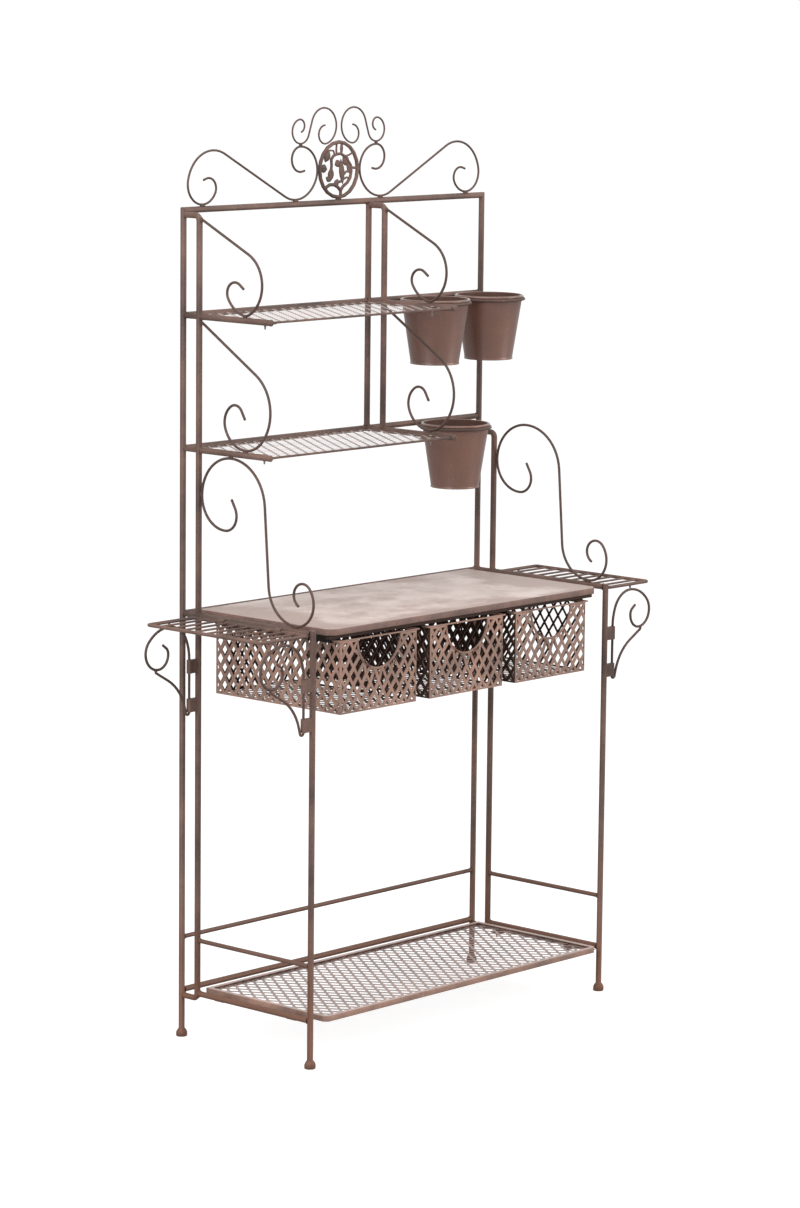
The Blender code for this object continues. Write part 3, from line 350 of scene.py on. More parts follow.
class Nodes:
    """A node tree that is filled from left to right."""

    def __init__(self, tree):
        self.tree = tree

    def put(self, socket, value):
        """Link a socket to another node's, or set it to a value."""
        if isinstance(value, bpy.types.NodeSocket):
            self.tree.links.new(value, socket)
        else:
            socket.default_value = value

    def fill(self, node, **inputs):
        for key, value in inputs.items():
            self.put(node.inputs[key.replace("_", " ")], value)
        return node

    def feed(self, node, start, *values):
        """Fill a node's inputs in their order, from the one numbered start."""
        for socket, value in zip(node.inputs[start:], values):
            self.put(socket, value)

    def add(self, kind, settings=None, **inputs):
        node = self.tree.nodes.new(kind)
        for key, value in (settings or {}).items():
            setattr(node, key, value)
        return self.fill(node, **inputs)

    def noise(self, place, scale, detail, roughness=0.5, distortion=0.0):
        node = self.add("ShaderNodeTexNoise", Vector=place, Scale=scale, Detail=detail, Roughness=roughness)
        return self.fill(node, Distortion=distortion).outputs["Fac"]

    def spread(self, value, low, high, new_low, new_high):
        """Map a value's range to a new one, clamped."""
        ends = {"From_Min": low, "From_Max": high, "To_Min": new_low, "To_Max": new_high}
        return self.add("ShaderNodeMapRange", Value=value, **ends).outputs["Result"]

    def ramp(self, value, *stops):
        """Two colours, each from its place on."""
        node = self.add("ShaderNodeValToRGB", Fac=value)
        for element, (position, colour) in zip(node.color_ramp.elements, stops):
            element.position = position
            element.color = (*colour, 1)
        return node.outputs["Color"]

    def maths(self, operation, *values):
        node = self.add("ShaderNodeMath", {"operation": operation})
        self.feed(node, 0, *values)
        return node.outputs["Value"]

    def scaled(self, colour, factor):
        settings = {"operation": "SCALE"}
        return self.add("ShaderNodeVectorMath", settings, Vector=colour, Scale=factor).outputs["Vector"]

    def mix(self, factor, first, second):
        """Blend a colour into another."""
        node = self.add("ShaderNodeMix", {"data_type": "RGBA"}, Factor=factor)
        self.feed(node, 6, first, (*second, 1))
        return node.outputs[2]


def new_surface(name):
    """A new material, its nodes and its shader."""
    surface = bpy.data.materials.new(name)
    surface.use_nodes = True
    return surface, Nodes(surface.node_tree), surface.node_tree.nodes["Principled BSDF"]


def paint(
    name,
    colour,
    contrast=0.45,
    grain=260.0,
    patch=9.0,
    roughness=0.5,
    metallic=0.2,
    bump=0.12,
    mirror=0.3,
    sheen=0.0,
    foot=None,
):
    """Worn paint on metal: broad cloudy patches, fine grain, and small chips that catch the light."""
    if name in bpy.data.materials:
        return bpy.data.materials[name]
    surface, tree, shader = new_surface(name)
    place = tree.add("ShaderNodeTexCoord").outputs["Object"]
    cloud = tree.noise(place, patch, 5.0, 0.6)
    fine = tree.noise(place, grain, 3.0, 0.7)
    chips = tree.noise(place, grain / 5, 6.0, 0.75)
    grey = sum(colour) / 3
    dark = [(0.8 * c + 0.2 * grey) * (1 - contrast) for c in colour]
    light = [c * (1 + contrast * 0.6) for c in colour]
    bare = [min(1.0, c * 1.9 + 0.03) for c in colour]
    tone = tree.ramp(cloud, (0.34, dark), (0.68, light))
    if foot:
        height = tree.add("ShaderNodeSeparateXYZ", Vector=place).outputs["Z"]
        tone = tree.mix(tree.spread(height, 0.34, 0.08, 0.0, 0.8), tone, foot)
    mottled = tree.scaled(tone, tree.spread(fine, 0.35, 0.75, 0.86, 1.14))
    worn = tree.mix(tree.spread(chips, 0.66, 0.72, 0.0, 0.55), mottled, bare)
    shine = tree.spread(cloud, 0.0, 1.0, roughness - 0.1, roughness + 0.14)
    relief = tree.add("ShaderNodeBump", Height=fine, Strength=bump, Distance=0.0006).outputs["Normal"]
    tree.fill(shader, Base_Color=worn, Roughness=shine, Normal=relief)
    tree.fill(shader, Metallic=metallic, Specular_IOR_Level=mirror, Sheen_Weight=sheen, Sheen_Roughness=0.35)
    return surface


def tube_paint():
    return paint("tube paint", colours().tube, foot=colours().rust)


def scroll_paint():
    return paint("scroll paint", colours().scroll, contrast=0.3, roughness=0.46)


def basket_paint():
    return paint("basket paint", colours().basket, contrast=0.32, patch=14.0, roughness=0.56)


# Painted shade for the drawers' inner faces and for their sides that face a neighbouring drawer
def painted_shade_paint():
    return paint("painted shade paint", colours().inside, contrast=0.3, patch=14.0, roughness=0.7, mirror=0.1)


# The brown paint of the shelves' mesh, lightened as a painted reflection of the white surroundings
def shelf_paint_and_highlight():
    return paint("shelf paint and highlight", colours().shelf, contrast=0.25, patch=14.0, roughness=0.42, metallic=0.1)


def lit_lip_paint():
    return paint("lit lip paint", colours().lip, contrast=0.2, patch=14.0, roughness=0.4, metallic=0.1)


def black_paint():
    return paint("black paint", colours().black, contrast=0.3, roughness=0.6, metallic=0.0, mirror=0.15)


def pale_desk_surface():
    """Pale desk top, streaked along its length, with brown in patches and towards its ends and front."""
    surface, tree, shader = new_surface("desk pale top")
    place = tree.add("ShaderNodeTexCoord").outputs["Object"]
    drawn = tree.add("ShaderNodeMapping", Vector=place, Scale=(3.0, 4.5, 1.0)).outputs["Vector"]
    rubbed = tree.add("ShaderNodeMapping", Vector=place, Scale=(14.0, 190.0, 1.0), Rotation=(0.0, 0.0, 0.06))
    streaks = tree.noise(drawn, 2.6, 7.0, 0.6, 0.25)
    patches = tree.noise(place, 8.5, 7.0, 0.68)
    scratches = tree.noise(rubbed.outputs["Vector"], 1.0, 4.0)
    pale, brown = colours().desk, colours().desk_brown
    thin = [0.7 * p + 0.3 * b for p, b in zip(pale, brown)]
    bare = [0.35 * p + 0.65 * b for p, b in zip(pale, brown)]
    wash = tree.ramp(streaks, (0.33, thin), (0.60, [min(1.0, c * 1.06) for c in pale]))
    sides = tree.add("ShaderNodeSeparateXYZ", Vector=place).outputs
    end, front = high_of("desk_top").x, low_of("desk_top").y
    # The brown grows towards the ends and the front, and in patches
    end_band = tree.spread(tree.maths("ABSOLUTE", sides["X"]), end - 0.11, end, 0.0, 0.28)
    front_band = tree.spread(sides["Y"], front + 0.03, front, 0.0, 0.16)
    worn = tree.maths("ADD", patches, tree.maths("ADD", end_band, front_band))
    browned = tree.mix(tree.spread(worn, 0.45, 0.61, 0.0, 0.8), wash, bare)
    final = tree.scaled(browned, tree.spread(scratches, 0.0, 1.0, 0.95, 1.04))
    dull = tree.spread(patches, 0.0, 1.0, 0.42, 0.7)
    relief = tree.add("ShaderNodeBump", Height=scratches, Strength=0.15, Distance=0.0004).outputs["Normal"]
    tree.fill(shader, Base_Color=final, Roughness=dull, Normal=relief)
    return surface


def make_piece(name, mesh, body, surfaces, nodes=(), sharp=40.0, outward=True):
    """Turn a bmesh into a finished piece that rides on a body and stands for its nodes."""
    if outward:
        bmesh.ops.recalc_face_normals(mesh, faces=mesh.faces)
    data = bpy.data.meshes.new(name)
    mesh.to_mesh(data)
    mesh.free()
    for surface in surfaces:
        data.materials.append(surface)
    data.shade_smooth()
    data.set_sharp_from_angle(angle=radians(sharp))
    piece = bpy.data.objects.new(name, data)
    bpy.context.scene.collection.objects.link(piece)
    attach(piece, body)
    if nodes:
        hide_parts(*nodes)


def wire_piece(node, mesh, body="frame"):
    """Bent wire in place of its node."""
    make_piece(f"{node}_look", mesh, body, [scroll_paint()], (node,), sharp=60.0)


def smooth_copy(node, surface):
    """The node's own shape with its corners merged and its round faces shaded smooth."""
    mesh = bmesh.new()
    mesh.from_mesh(frame["nodes"][node].data)
    bmesh.ops.remove_doubles(mesh, verts=mesh.verts, dist=0.00001)
    bmesh.ops.dissolve_limit(mesh, angle_limit=radians(0.5), verts=mesh.verts, edges=mesh.edges)
    make_piece(f"{node}_look", mesh, "frame", [surface], (node,), sharp=38.0, outward=False)


def only(kind, geometry):
    return [item for item in geometry if isinstance(item, kind)]


def edges_of(verts):
    """Every edge that meets these vertices, once, in a steady order."""
    return list(dict.fromkeys(edge for vert in verts for edge in vert.link_edges))


def folds(edges, angle):
    """The edges where two faces meet at more than an angle."""
    return [edge for edge in edges if edge.is_manifold and edge.calc_face_angle() > angle]


class BentWire:
    """A round wire bent flat in the XZ plane, run by run: straights by extrusion, bends by spin."""

    def __init__(self, radius, point, heading):
        self.mesh = bmesh.new()
        self.radius = radius
        self.home = Vector(point)
        self.home_heading = radians(heading)
        turn = Matrix.Rotation(pi / 2 - self.home_heading, 4, "Y")
        place = Matrix.Translation((self.home.x, 0.0, self.home.y)) @ turn
        ring = bmesh.ops.create_circle(self.mesh, segments=sizes().wire_sides, radius=radius, matrix=place)
        self.first = edges_of(ring["verts"])
        self.edges = self.first
        self.point = self.home.copy()
        self.heading = self.home_heading

    def go_back(self):
        """Close this end, and work the other way from where the wire began."""
        self.close_end()
        self.edges = self.first
        self.point = self.home.copy()
        self.heading = self.home_heading + pi
        return self

    def side_of(self, sign):
        return Vector((-sin(self.heading), cos(self.heading))) * sign

    def push(self, length):
        out = bmesh.ops.extrude_edge_only(self.mesh, edges=self.edges)["geom"]
        verts = only(bmesh.types.BMVert, out)
        step = Vector((cos(self.heading), sin(self.heading))) * length
        bmesh.ops.translate(self.mesh, verts=verts, vec=(step.x, 0.0, step.y))
        fresh = set(verts)
        self.edges = [e for e in only(bmesh.types.BMEdge, out) if set(e.verts) <= fresh]
        self.point += step
        return verts

    def forward(self, length):
        self.push(length)
        return self

    def bend(self, radius, angle):
        sign = 1 if angle > 0 else -1
        centre = self.point + self.side_of(sign) * radius
        out = bmesh.ops.spin(
            self.mesh,
            geom=self.edges,
            cent=(centre.x, 0.0, centre.y),
            axis=(0.0, -1.0, 0.0),
            angle=radians(angle),
            steps=max(1, ceil(radians(abs(angle)) / sizes().bend_step)),
        )
        self.edges = only(bmesh.types.BMEdge, out["geom_last"])
        self.heading += radians(angle)
        self.point = centre - self.side_of(sign) * radius
        return self

    def curl(self, bends, tip=0.0):
        """Bends one after the other, and a straight tip where there is one."""
        for radius, angle in bends:
            self.bend(radius, angle)
        return self.forward(tip) if tip else self

    def bend_towards(self, radius, sign, target, target_radius=0.0):
        """Bend, then run straight to a point, or to touch a circle that the wire then bends round."""
        offset = Vector(target) - self.point - self.side_of(sign) * radius
        across = -sign * (target_radius + radius)
        along = sqrt(offset.length_squared - across**2)
        turn = atan2(offset.y, offset.x) - atan2(across, along) - self.heading
        turn = (turn * sign) % (2 * pi) * sign
        return self.bend(radius, degrees(turn)).forward(along)

    def close_end(self):
        """A slightly rounded end."""
        verts = self.push(self.radius * 0.3)
        shrink = Vector((self.point.x, 0.0, self.point.y))
        bmesh.ops.scale(self.mesh, verts=verts, vec=(0.7, 0.7, 0.7), space=Matrix.Translation(-shrink))
        bmesh.ops.edgeloop_fill(self.mesh, edges=self.edges)

    def finished(self, matrix):
        self.close_end()
        bmesh.ops.transform(self.mesh, matrix=matrix, verts=self.mesh.verts)
        return self.mesh


def side_plane(x):
    """Places a flat wire in a side frame: its X runs forward from the rear legs."""
    return Matrix.Translation((x, BACK_Y, 0.0)) @ Matrix.Rotation(-pi / 2, 4, "Z")


def back_plane(side):
    """Places a flat wire in the plane of the rear legs, mirrored where side is -1."""
    return Matrix.Translation((0.0, BACK_Y, 0.0)) @ Matrix.Diagonal((side, 1.0, 1.0, 1.0))


def along(axis):
    """Turns +Z to an axis."""
    return Vector(axis).to_track_quat("Z", "Y").to_matrix().to_4x4()


def ease(mesh, edges, offset, segments=2):
    """Round edges off a little."""
    bmesh.ops.bevel(
        mesh, geom=edges, offset=offset, segments=segments, profile=0.5, affect="EDGES", material=-1
    )


def round_bar(mesh, start, end, radius, sides=24, rounded=0.0):
    """A closed round bar between two points, its ends rounded off where asked."""
    axis = end - start
    place = Matrix.Translation((start + end) / 2) @ along(axis)
    out = bmesh.ops.create_cone(
        mesh, cap_ends=True, segments=sides, radius1=radius, radius2=radius, depth=axis.length, matrix=place
    )
    if rounded:
        ease(mesh, folds(edges_of(out["verts"]), 1.0), rounded)


def hoop(mesh, centre, axis, radius, thickness):
    """A ring of round wire about an axis, which is also a weld bead round the end of a tube."""
    place = Matrix.Translation(centre) @ along(axis) @ Matrix.Translation((radius, 0.0, 0.0))
    upright = Matrix.Rotation(pi / 2, 4, "X")
    wire = bmesh.ops.create_circle(mesh, segments=8, radius=thickness, matrix=place @ upright)
    bmesh.ops.spin(
        mesh, geom=edges_of(wire["verts"]), cent=centre, axis=axis, angle=2 * pi, steps=20, use_merge=True
    )


def blob(mesh, centre, size):
    """A spot weld: a flattened drop of metal."""
    place = Matrix.Translation(centre) @ Matrix.Diagonal((*size, 1.0))
    bmesh.ops.create_uvsphere(mesh, u_segments=12, v_segments=8, radius=1.0, matrix=place)


def box_bar(mesh, low, high, soft=0.0006):
    """A flat bar between two corners, with its edges eased."""
    low, high = Vector(low), Vector(high)
    place = Matrix.Translation((low + high) / 2) @ Matrix.Diagonal((*(high - low), 1.0))
    out = bmesh.ops.create_cube(mesh, size=1.0, matrix=place)
    ease(mesh, edges_of(out["verts"]), soft)


def flat_frame(mesh, low, high, side, end):
    """Four flat bars round an opening: the ends run right across, and the sides butt against them."""
    near, far = low.y + end, high.y - end
    box_bar(mesh, low, (high.x, near, high.z))
    box_bar(mesh, (low.x, far, low.z), high)
    box_bar(mesh, (low.x, near, low.z), (low.x + side, far, high.z))
    box_bar(mesh, (high.x - side, near, low.z), (high.x, far, high.z))


def cut_sheet(mesh, low, high, cut, z):
    """A flat face with its front corners cut."""
    outline = (
        (high.x, high.y),
        (low.x, high.y),
        (low.x, low.y + cut),
        (low.x + cut, low.y),
        (high.x - cut, low.y),
        (high.x, low.y + cut),
    )
    return mesh.faces.new([mesh.verts.new((x, y, z)) for x, y in outline])


def mesh_panel(target, width, height, place, wide=None, strand=None, thick=None, lean=0.0, shape=None):
    """Expanded metal: a slanted grid trimmed to the panel, with its diamonds opened up between strands."""
    strand = strand or sizes().strand
    across, down = round(width / (wide or sizes().mesh_wide)), round(height / sizes().mesh_tall)
    wide, tall = width / across, height / down
    cells = 2 * max(across, down) + 2
    shift = wide / 2 if (across + down) % 2 else 0.0
    sheet = bmesh.new()
    bmesh.ops.create_grid(sheet, x_segments=cells, y_segments=cells, size=cells / 2)
    bmesh.ops.rotate(sheet, verts=sheet.verts, cent=(0, 0, 0), matrix=Matrix.Rotation(pi / 4, 3, "Z"))
    bmesh.ops.scale(sheet, verts=sheet.verts, vec=(wide / sqrt(2), tall / sqrt(2), 1.0))
    bmesh.ops.translate(sheet, verts=sheet.verts, vec=(shift, 0.0, 0.0))
    for axis, reach in ((X_AXIS, width / 2), (Y_AXIS, height / 2)):
        for outward in (Vector(axis), -Vector(axis)):
            whole = sheet.verts[:] + sheet.edges[:] + sheet.faces[:]
            bmesh.ops.bisect_plane(
                sheet, geom=whole, dist=1e-6, plane_co=outward * reach, plane_no=outward, clear_outer=True
            )
    if shape:
        shape(sheet)
    bmesh.ops.remove_doubles(sheet, verts=sheet.verts, dist=strand / 3)
    holes = sheet.faces[:]
    bmesh.ops.inset_individual(sheet, faces=holes, thickness=strand / 2, use_even_offset=True)
    bmesh.ops.delete(sheet, geom=holes, context="FACES")
    for vert in sheet.verts:
        above = vert.co.y - round(vert.co.y / (tall / 2)) * tall / 2
        vert.co.z -= lean * max(-strand / 2, min(strand / 2, above))
    bmesh.ops.solidify(sheet, geom=sheet.faces[:], thickness=thick or sizes().strand_sheet)
    bmesh.ops.transform(sheet, matrix=place, verts=sheet.verts)
    merge(target, sheet)


def merge(target, mesh):
    """Add one bmesh to another, and free it."""
    part = bpy.data.meshes.new("part")
    mesh.to_mesh(part)
    mesh.free()
    target.from_mesh(part)
    bpy.data.meshes.remove(part)


def shelf_panel(name, low, high, z, inset, thick, lean, nodes=()):
    """The mesh of a shelf, a little smaller than its rim."""
    panel = bmesh.new()
    middle, size = (low + high) / 2, high - low
    place = Matrix.Translation((middle.x, middle.y, z))
    cell, strand = sizes().shelf_wide, sizes().shelf_strand
    mesh_panel(panel, size.x - inset, size.y - inset, place, cell, strand, thick, lean)
    make_piece(name, panel, "frame", [shelf_paint_and_highlight()], nodes)


class RackOperator:
    """What every operator of the rack shares."""

    bl_options = {"REGISTER", "UNDO"}


class PLANTRACK_OT_tubes(RackOperator, bpy.types.Operator):
    """Dress the legs, posts, rails and arms"""

    bl_idname = "plant_rack.tubes"
    bl_label = "Tubes"

    def execute(self, context):
        for node in sorted(frame["record"]["behaviour"]["bodies"]["frame"]):
            if "rail" in node or not any(word in node for word in NOT_TUBES):
                smooth_copy(node, tube_paint())
        beads = bmesh.new()
        self.rail_beads(beads)
        self.arm_beads(beads)
        self.post_beads(beads)
        make_piece("weld_beads", beads, "frame", [tube_paint()], sharp=60.0)
        return {"FINISHED"}

    def bead(self, mesh, x, y, z, axis, radius=TUBE_R):
        hoop(mesh, Vector((x, y, z)), axis, radius, sizes().bead)

    def rail_beads(self, mesh):
        """Beads at both ends of the rails and of the inner rear post."""
        for node in BACK_RAILS:
            low, high = corners(node)
            for x in (low.x, high.x):
                self.bead(mesh, x, BACK_Y, middle_of(node).z, X_AXIS, (high.z - low.z) / 2)
        for level, z, radius in SIDE_RAILS:
            for side, sign in SIDES:
                low, high = corners(f"{level}_side_rail_{side}")
                for y in (low.y, high.y):
                    self.bead(mesh, sign * HALF_WIDTH, y, z, Y_AXIS, radius)
        for part in ("upper", "lower"):
            low, high = corners(f"inner_rear_post_{part}")
            for z in (low.z, high.z):
                self.bead(mesh, INNER_POST_X, BACK_Y, z, Z_AXIS)

    def arm_beads(self, mesh):
        """A bead behind each arm, and the plug in its front end."""
        plug = Vector((0.0, PLUG, 0.0))
        for level, z in (("upper", UPPER_SHELF_Z), ("lower", LOWER_SHELF_Z)):
            for side, x in ARM_SIDES:
                low, high = corners(f"{level}_arm_{side}")
                self.bead(mesh, x, high.y, z, Y_AXIS)
                tip = Vector((x, low.y, z))
                round_bar(mesh, tip - plug, tip + plug, TUBE_R + GAP, rounded=PLUG / 2)

    def post_beads(self, mesh):
        """Beads where the posts and their stubs meet the back frame."""
        for post, x, stubs in (
            ("side_post_left", -HALF_WIDTH, (UPPER_SHELF_Z, LOWER_SHELF_Z, DESK_RAIL_Z)),
            ("side_post_right", HALF_WIDTH, (DESK_RAIL_Z,)),
            ("inner_front_post", INNER_POST_X, (UPPER_SHELF_Z,)),
        ):
            low, high = corners(post)
            for z in (low.z + TUBE_R, high.z - TUBE_R):
                self.bead(mesh, x, high.y, z, Y_AXIS)
            for z in stubs:
                self.bead(mesh, x, high.y, z, Y_AXIS, STUB_R)


class PLANTRACK_OT_side_scrolls(RackOperator, bpy.types.Operator):
    """Bend the scrolls over the arms and beside the desk"""

    bl_idname = "plant_rack.side_scrolls"
    bl_label = "Side scrolls"

    def execute(self, context):
        welds = bmesh.new()
        for side, x in ARM_SIDES:
            for level, (seat, start, curl, tip, stem_bend, stem_r) in ARM_SCROLLS.items():
                wire = BentWire(SCROLL_R, seat, 180.0).curl(curl, tip)
                wire.go_back().bend(*stem_bend).bend_towards(stem_r, 1, start)
                wire_piece(f"{level}_scroll_{side}", wire.finished(side_plane(x)))
                self.weld(welds, x, seat, DOWN)
                self.weld(welds, x, start, BACK)
        foot = Vector((BIG_FOOT_X, DESK_RAIL_Z + WIRE_ON_TUBE + BIG_FOOT_R))
        touch = (POST_FACE, LOWER_SHELF_Z - WIRE_ON_TUBE - BIG_CURL_R)
        top = (POST_FACE + BIG_CURL_R, LOWER_SHELF_Z - WIRE_ON_TUBE)
        for side, sign in SIDES:
            x = sign * HALF_WIDTH
            wire = BentWire(SCROLL_R, touch, 90.0)
            wire.bend(BIG_CURL_R, -90).bend_towards(BIG_SWEEP_R, -1, foot, BIG_FOOT_R)
            wire.bend(BIG_FOOT_R, degrees(-wire.heading)).curl(BIG_FOOT_CURL, BIG_FOOT_TIP)
            wire.go_back().curl(BIG_TOP_CURL, BIG_TOP_TIP)
            wire_piece(f"big_scroll_{side}", wire.finished(side_plane(x)))
            self.weld(welds, x, (foot.x, foot.y - BIG_FOOT_R), DOWN)
            self.weld(welds, x, touch, BACK)
            if side == "left":
                self.weld(welds, x, top, UP)
        make_piece("scroll_welds", welds, "frame", [scroll_paint()], sharp=60.0)
        return {"FINISHED"}

    def weld(self, mesh, x, spot, way):
        """A spot weld between a wire and the arm or post that lies to one side of it."""
        out, z = Vector(spot) + way * SCROLL_R
        blob(mesh, (x, BACK_Y - out, z), POST_WELD if way == BACK else ARM_WELD)


class PLANTRACK_OT_crest(RackOperator, bpy.types.Operator):
    """Bend the scrolls on the top rail"""

    bl_idname = "plant_rack.crest"
    bl_label = "Crest"

    def execute(self, context):
        rest_z = TOP_Z + WIRE_ON_TUBE
        shift = CREST_INNER_R - CREST_MIDDLE_R
        aside = shift * sin(radians(CREST_INNER_TURN))
        hub = Vector((-(MEDALLION_R + GAP + SCROLL_R + CREST_MIDDLE_R + aside), rest_z + CREST_INNER_R))
        top_z = hub.y - shift * cos(radians(CREST_INNER_TURN)) + CREST_MIDDLE_R
        seat = Vector((hub.x + aside, top_z + 2 * SCROLL_R + GAP))
        welds = bmesh.new()
        for side, sign in (("left", 1), ("right", -1)):
            wire = BentWire(CREST_WIRE_R, (-CREST_CURL_X, rest_z), 180.0).bend(*CREST_FOOT_BEND)
            wire.bend_towards(CREST_SWEEP_R, -1, hub, CREST_INNER_R)
            wire.bend(CREST_INNER_R, CREST_INNER_TURN - (degrees(wire.heading) + 180) % 360 + 180)
            wire.curl(CREST_INNER_CURL, CREST_INNER_TIP)
            wire.go_back().curl(CREST_OUTER_CURL, CREST_OUTER_TIP)
            wire_piece(f"crest_scroll_{side}", wire.finished(back_plane(sign)))
            wire = BentWire(CURL_WIRE_R, seat, 0.0).bend(*CURL_SEAT_BEND).forward(CURL_RUN).curl(CURL_TOP)
            wire.go_back().curl(CURL_OUTER, CURL_OUTER_TIP)
            wire_piece(f"crest_curl_{side}", wire.finished(back_plane(sign)))
            for x in (-CREST_CURL_X, hub.x):
                blob(welds, (sign * x, BACK_Y, rest_z - SCROLL_R), RAIL_WELD)
            blob(welds, (sign * seat.x, BACK_Y, seat.y - SCROLL_R), CURL_WELD)
            blob(welds, (-sign * MEDALLION_R, BACK_Y, rest_z + MEDALLION_R), MEDALLION_WELD)
        blob(welds, (0.0, BACK_Y, TOP_Z + TUBE_R), MEDALLION_FOOT)
        make_piece("crest_welds", welds, "frame", [scroll_paint()], sharp=60.0)
        return {"FINISHED"}


class PLANTRACK_OT_medallion(RackOperator, bpy.types.Operator):
    """Make the pierced medallion: a ring filled with a leafy vine"""

    bl_idname = "plant_rack.medallion"
    bl_label = "Medallion"

    def execute(self, context):
        mesh = bmesh.new()
        hoop(mesh, Vector(), Y_AXIS, MEDALLION_R - MEDALLION_RING_R, MEDALLION_RING_R)
        for radius, *path in VINE_STEMS:
            spots = [Vector((x, 0.0, z)) / 1000 for x, z in path]
            for start, end in zip(spots, spots[1:]):
                round_bar(mesh, start, end, radius, 10)
                blob(mesh, end, (radius, radius, radius))
        for x, z, heading, long, wide in VINE_LEAVES:
            turn = Matrix.Rotation(radians(90 - heading), 4, "Y")
            size = Matrix.Diagonal((wide / 1000, VINE_LEAF_THICK, long / 1000, 1.0))
            self.leaf(mesh, Matrix.Translation((x / 1000, 0.0, z / 1000)) @ turn @ size)
        bmesh.ops.translate(mesh, verts=mesh.verts, vec=middle_of("medallion"))
        make_piece("medallion_look", mesh, "frame", [tube_paint()], ("medallion",), sharp=50.0)
        return {"FINISHED"}

    def leaf(self, mesh, place):
        """A pointed leaf, thicker along its middle."""
        verts = bmesh.ops.create_uvsphere(mesh, u_segments=14, v_segments=8, radius=0.5)["verts"]
        for vert in verts:
            vert.co.x *= 1.0 - VINE_LEAF_TAPER * (2 * vert.co.z) ** 2
        bmesh.ops.transform(mesh, matrix=place, verts=verts)


class PLANTRACK_OT_shelves(RackOperator, bpy.types.Operator):
    """Make the two mesh shelves between the arms"""

    bl_idname = "plant_rack.shelves"
    bl_label = "Mesh shelves"

    def execute(self, context):
        sheet = sizes().shelf_sheet
        for node in ("upper_shelf", "lower_shelf"):
            low, high = corners(node)
            z = middle_of(node).z
            shelf_panel(f"{node}_mesh", low, high, z, SHELF_BORDER, sheet, SHELF_LEAN, (node,))
            rim = bmesh.new()
            flat_frame(rim, low, high, SHELF_BORDER, SHELF_BORDER)
            make_piece(f"{node}_rim", rim, "frame", [tube_paint()])
        return {"FINISHED"}


class PLANTRACK_OT_bottom_shelf(RackOperator, bpy.types.Operator):
    """Make the bottom shelf: mesh in an angle rim with cut front corners"""

    bl_idname = "plant_rack.bottom_shelf"
    bl_label = "Bottom shelf"

    def execute(self, context):
        low, high = corners("bottom_shelf")
        rim = bmesh.new()
        top = cut_sheet(rim, low, high, SHELF_CORNER_CUT, high.z)
        apron = bmesh.ops.extrude_edge_only(rim, edges=rim.edges[:])["geom"]
        bmesh.ops.translate(rim, verts=only(bmesh.types.BMVert, apron), vec=(0, 0, low.z - high.z))
        bmesh.ops.inset_individual(rim, faces=[top], thickness=SHELF_LIP, use_even_offset=True)
        bmesh.ops.delete(rim, geom=[top], context="FACES")
        bmesh.ops.recalc_face_normals(rim, faces=rim.faces)
        if max(rim.faces, key=lambda face: face.normal.z**2).normal.z < 0:
            bmesh.ops.reverse_faces(rim, faces=rim.faces)
        bmesh.ops.solidify(rim, geom=rim.faces[:], thickness=RIM_SHEET)
        ease(rim, folds(rim.edges, 0.5), RIM_EDGE)
        middle_z = (low.z + high.z) / 2
        # Painted highlight: the rim's upper faces that point up take the lighter lip paint
        for face in rim.faces:
            upper = face.calc_center_median().z > middle_z
            face.material_index = 1 if upper and face.normal.z > 0.9 else 0
        surfaces = [basket_paint(), lit_lip_paint()]
        make_piece("bottom_shelf_rim", rim, "frame", surfaces, ("bottom_shelf",), sharp=30.0)
        sheet, z = sizes().bottom_sheet, high.z - 3 * RIM_SHEET
        shelf_panel("bottom_shelf_mesh", low, high, z, 2 * RIM_SHEET, sheet, BOTTOM_LEAN)
        return {"FINISHED"}


class PLANTRACK_OT_desk(RackOperator, bpy.types.Operator):
    """Make the desk top, pale on top with a brown edge, and the bar and runners under it"""

    bl_idname = "plant_rack.desk"
    bl_label = "Desk top"

    def execute(self, context):
        low, high = corners("desk_top")
        mesh = bmesh.new()
        base = cut_sheet(mesh, low, high, DESK_CORNER_CUT, low.z)
        out = bmesh.ops.extrude_face_region(mesh, geom=[base])["geom"]
        bmesh.ops.translate(mesh, verts=only(bmesh.types.BMVert, out), vec=(0, 0, high.z - low.z))
        ease(mesh, mesh.edges[:], DESK_EDGE, segments=3)
        bmesh.ops.recalc_face_normals(mesh, faces=mesh.faces)
        # Faces that point up take the pale colour, and all others the brown
        for face in mesh.faces:
            face.material_index = 0 if face.normal.z > 0.95 else 1
        edge = paint("desk edge", colours().desk_brown, contrast=0.3, patch=16.0, roughness=0.55)
        surfaces = [pale_desk_surface(), edge]
        make_piece("desk_top_look", mesh, "frame", surfaces, ("desk_top",), sharp=60.0)
        for number in range(1, 5):
            smooth_copy(f"drawer_runner_{number}", black_paint())
        bar = bmesh.new()
        box_bar(bar, *corners("drawer_front_bar"), soft=0.001)
        # The bar takes the same dark colour as the drawers' painted shade
        dark = paint("bar paint", colours().inside, contrast=0.3, roughness=0.6, mirror=0.15)
        make_piece("drawer_front_bar_look", bar, "frame", [dark], ("drawer_front_bar",))
        return {"FINISHED"}


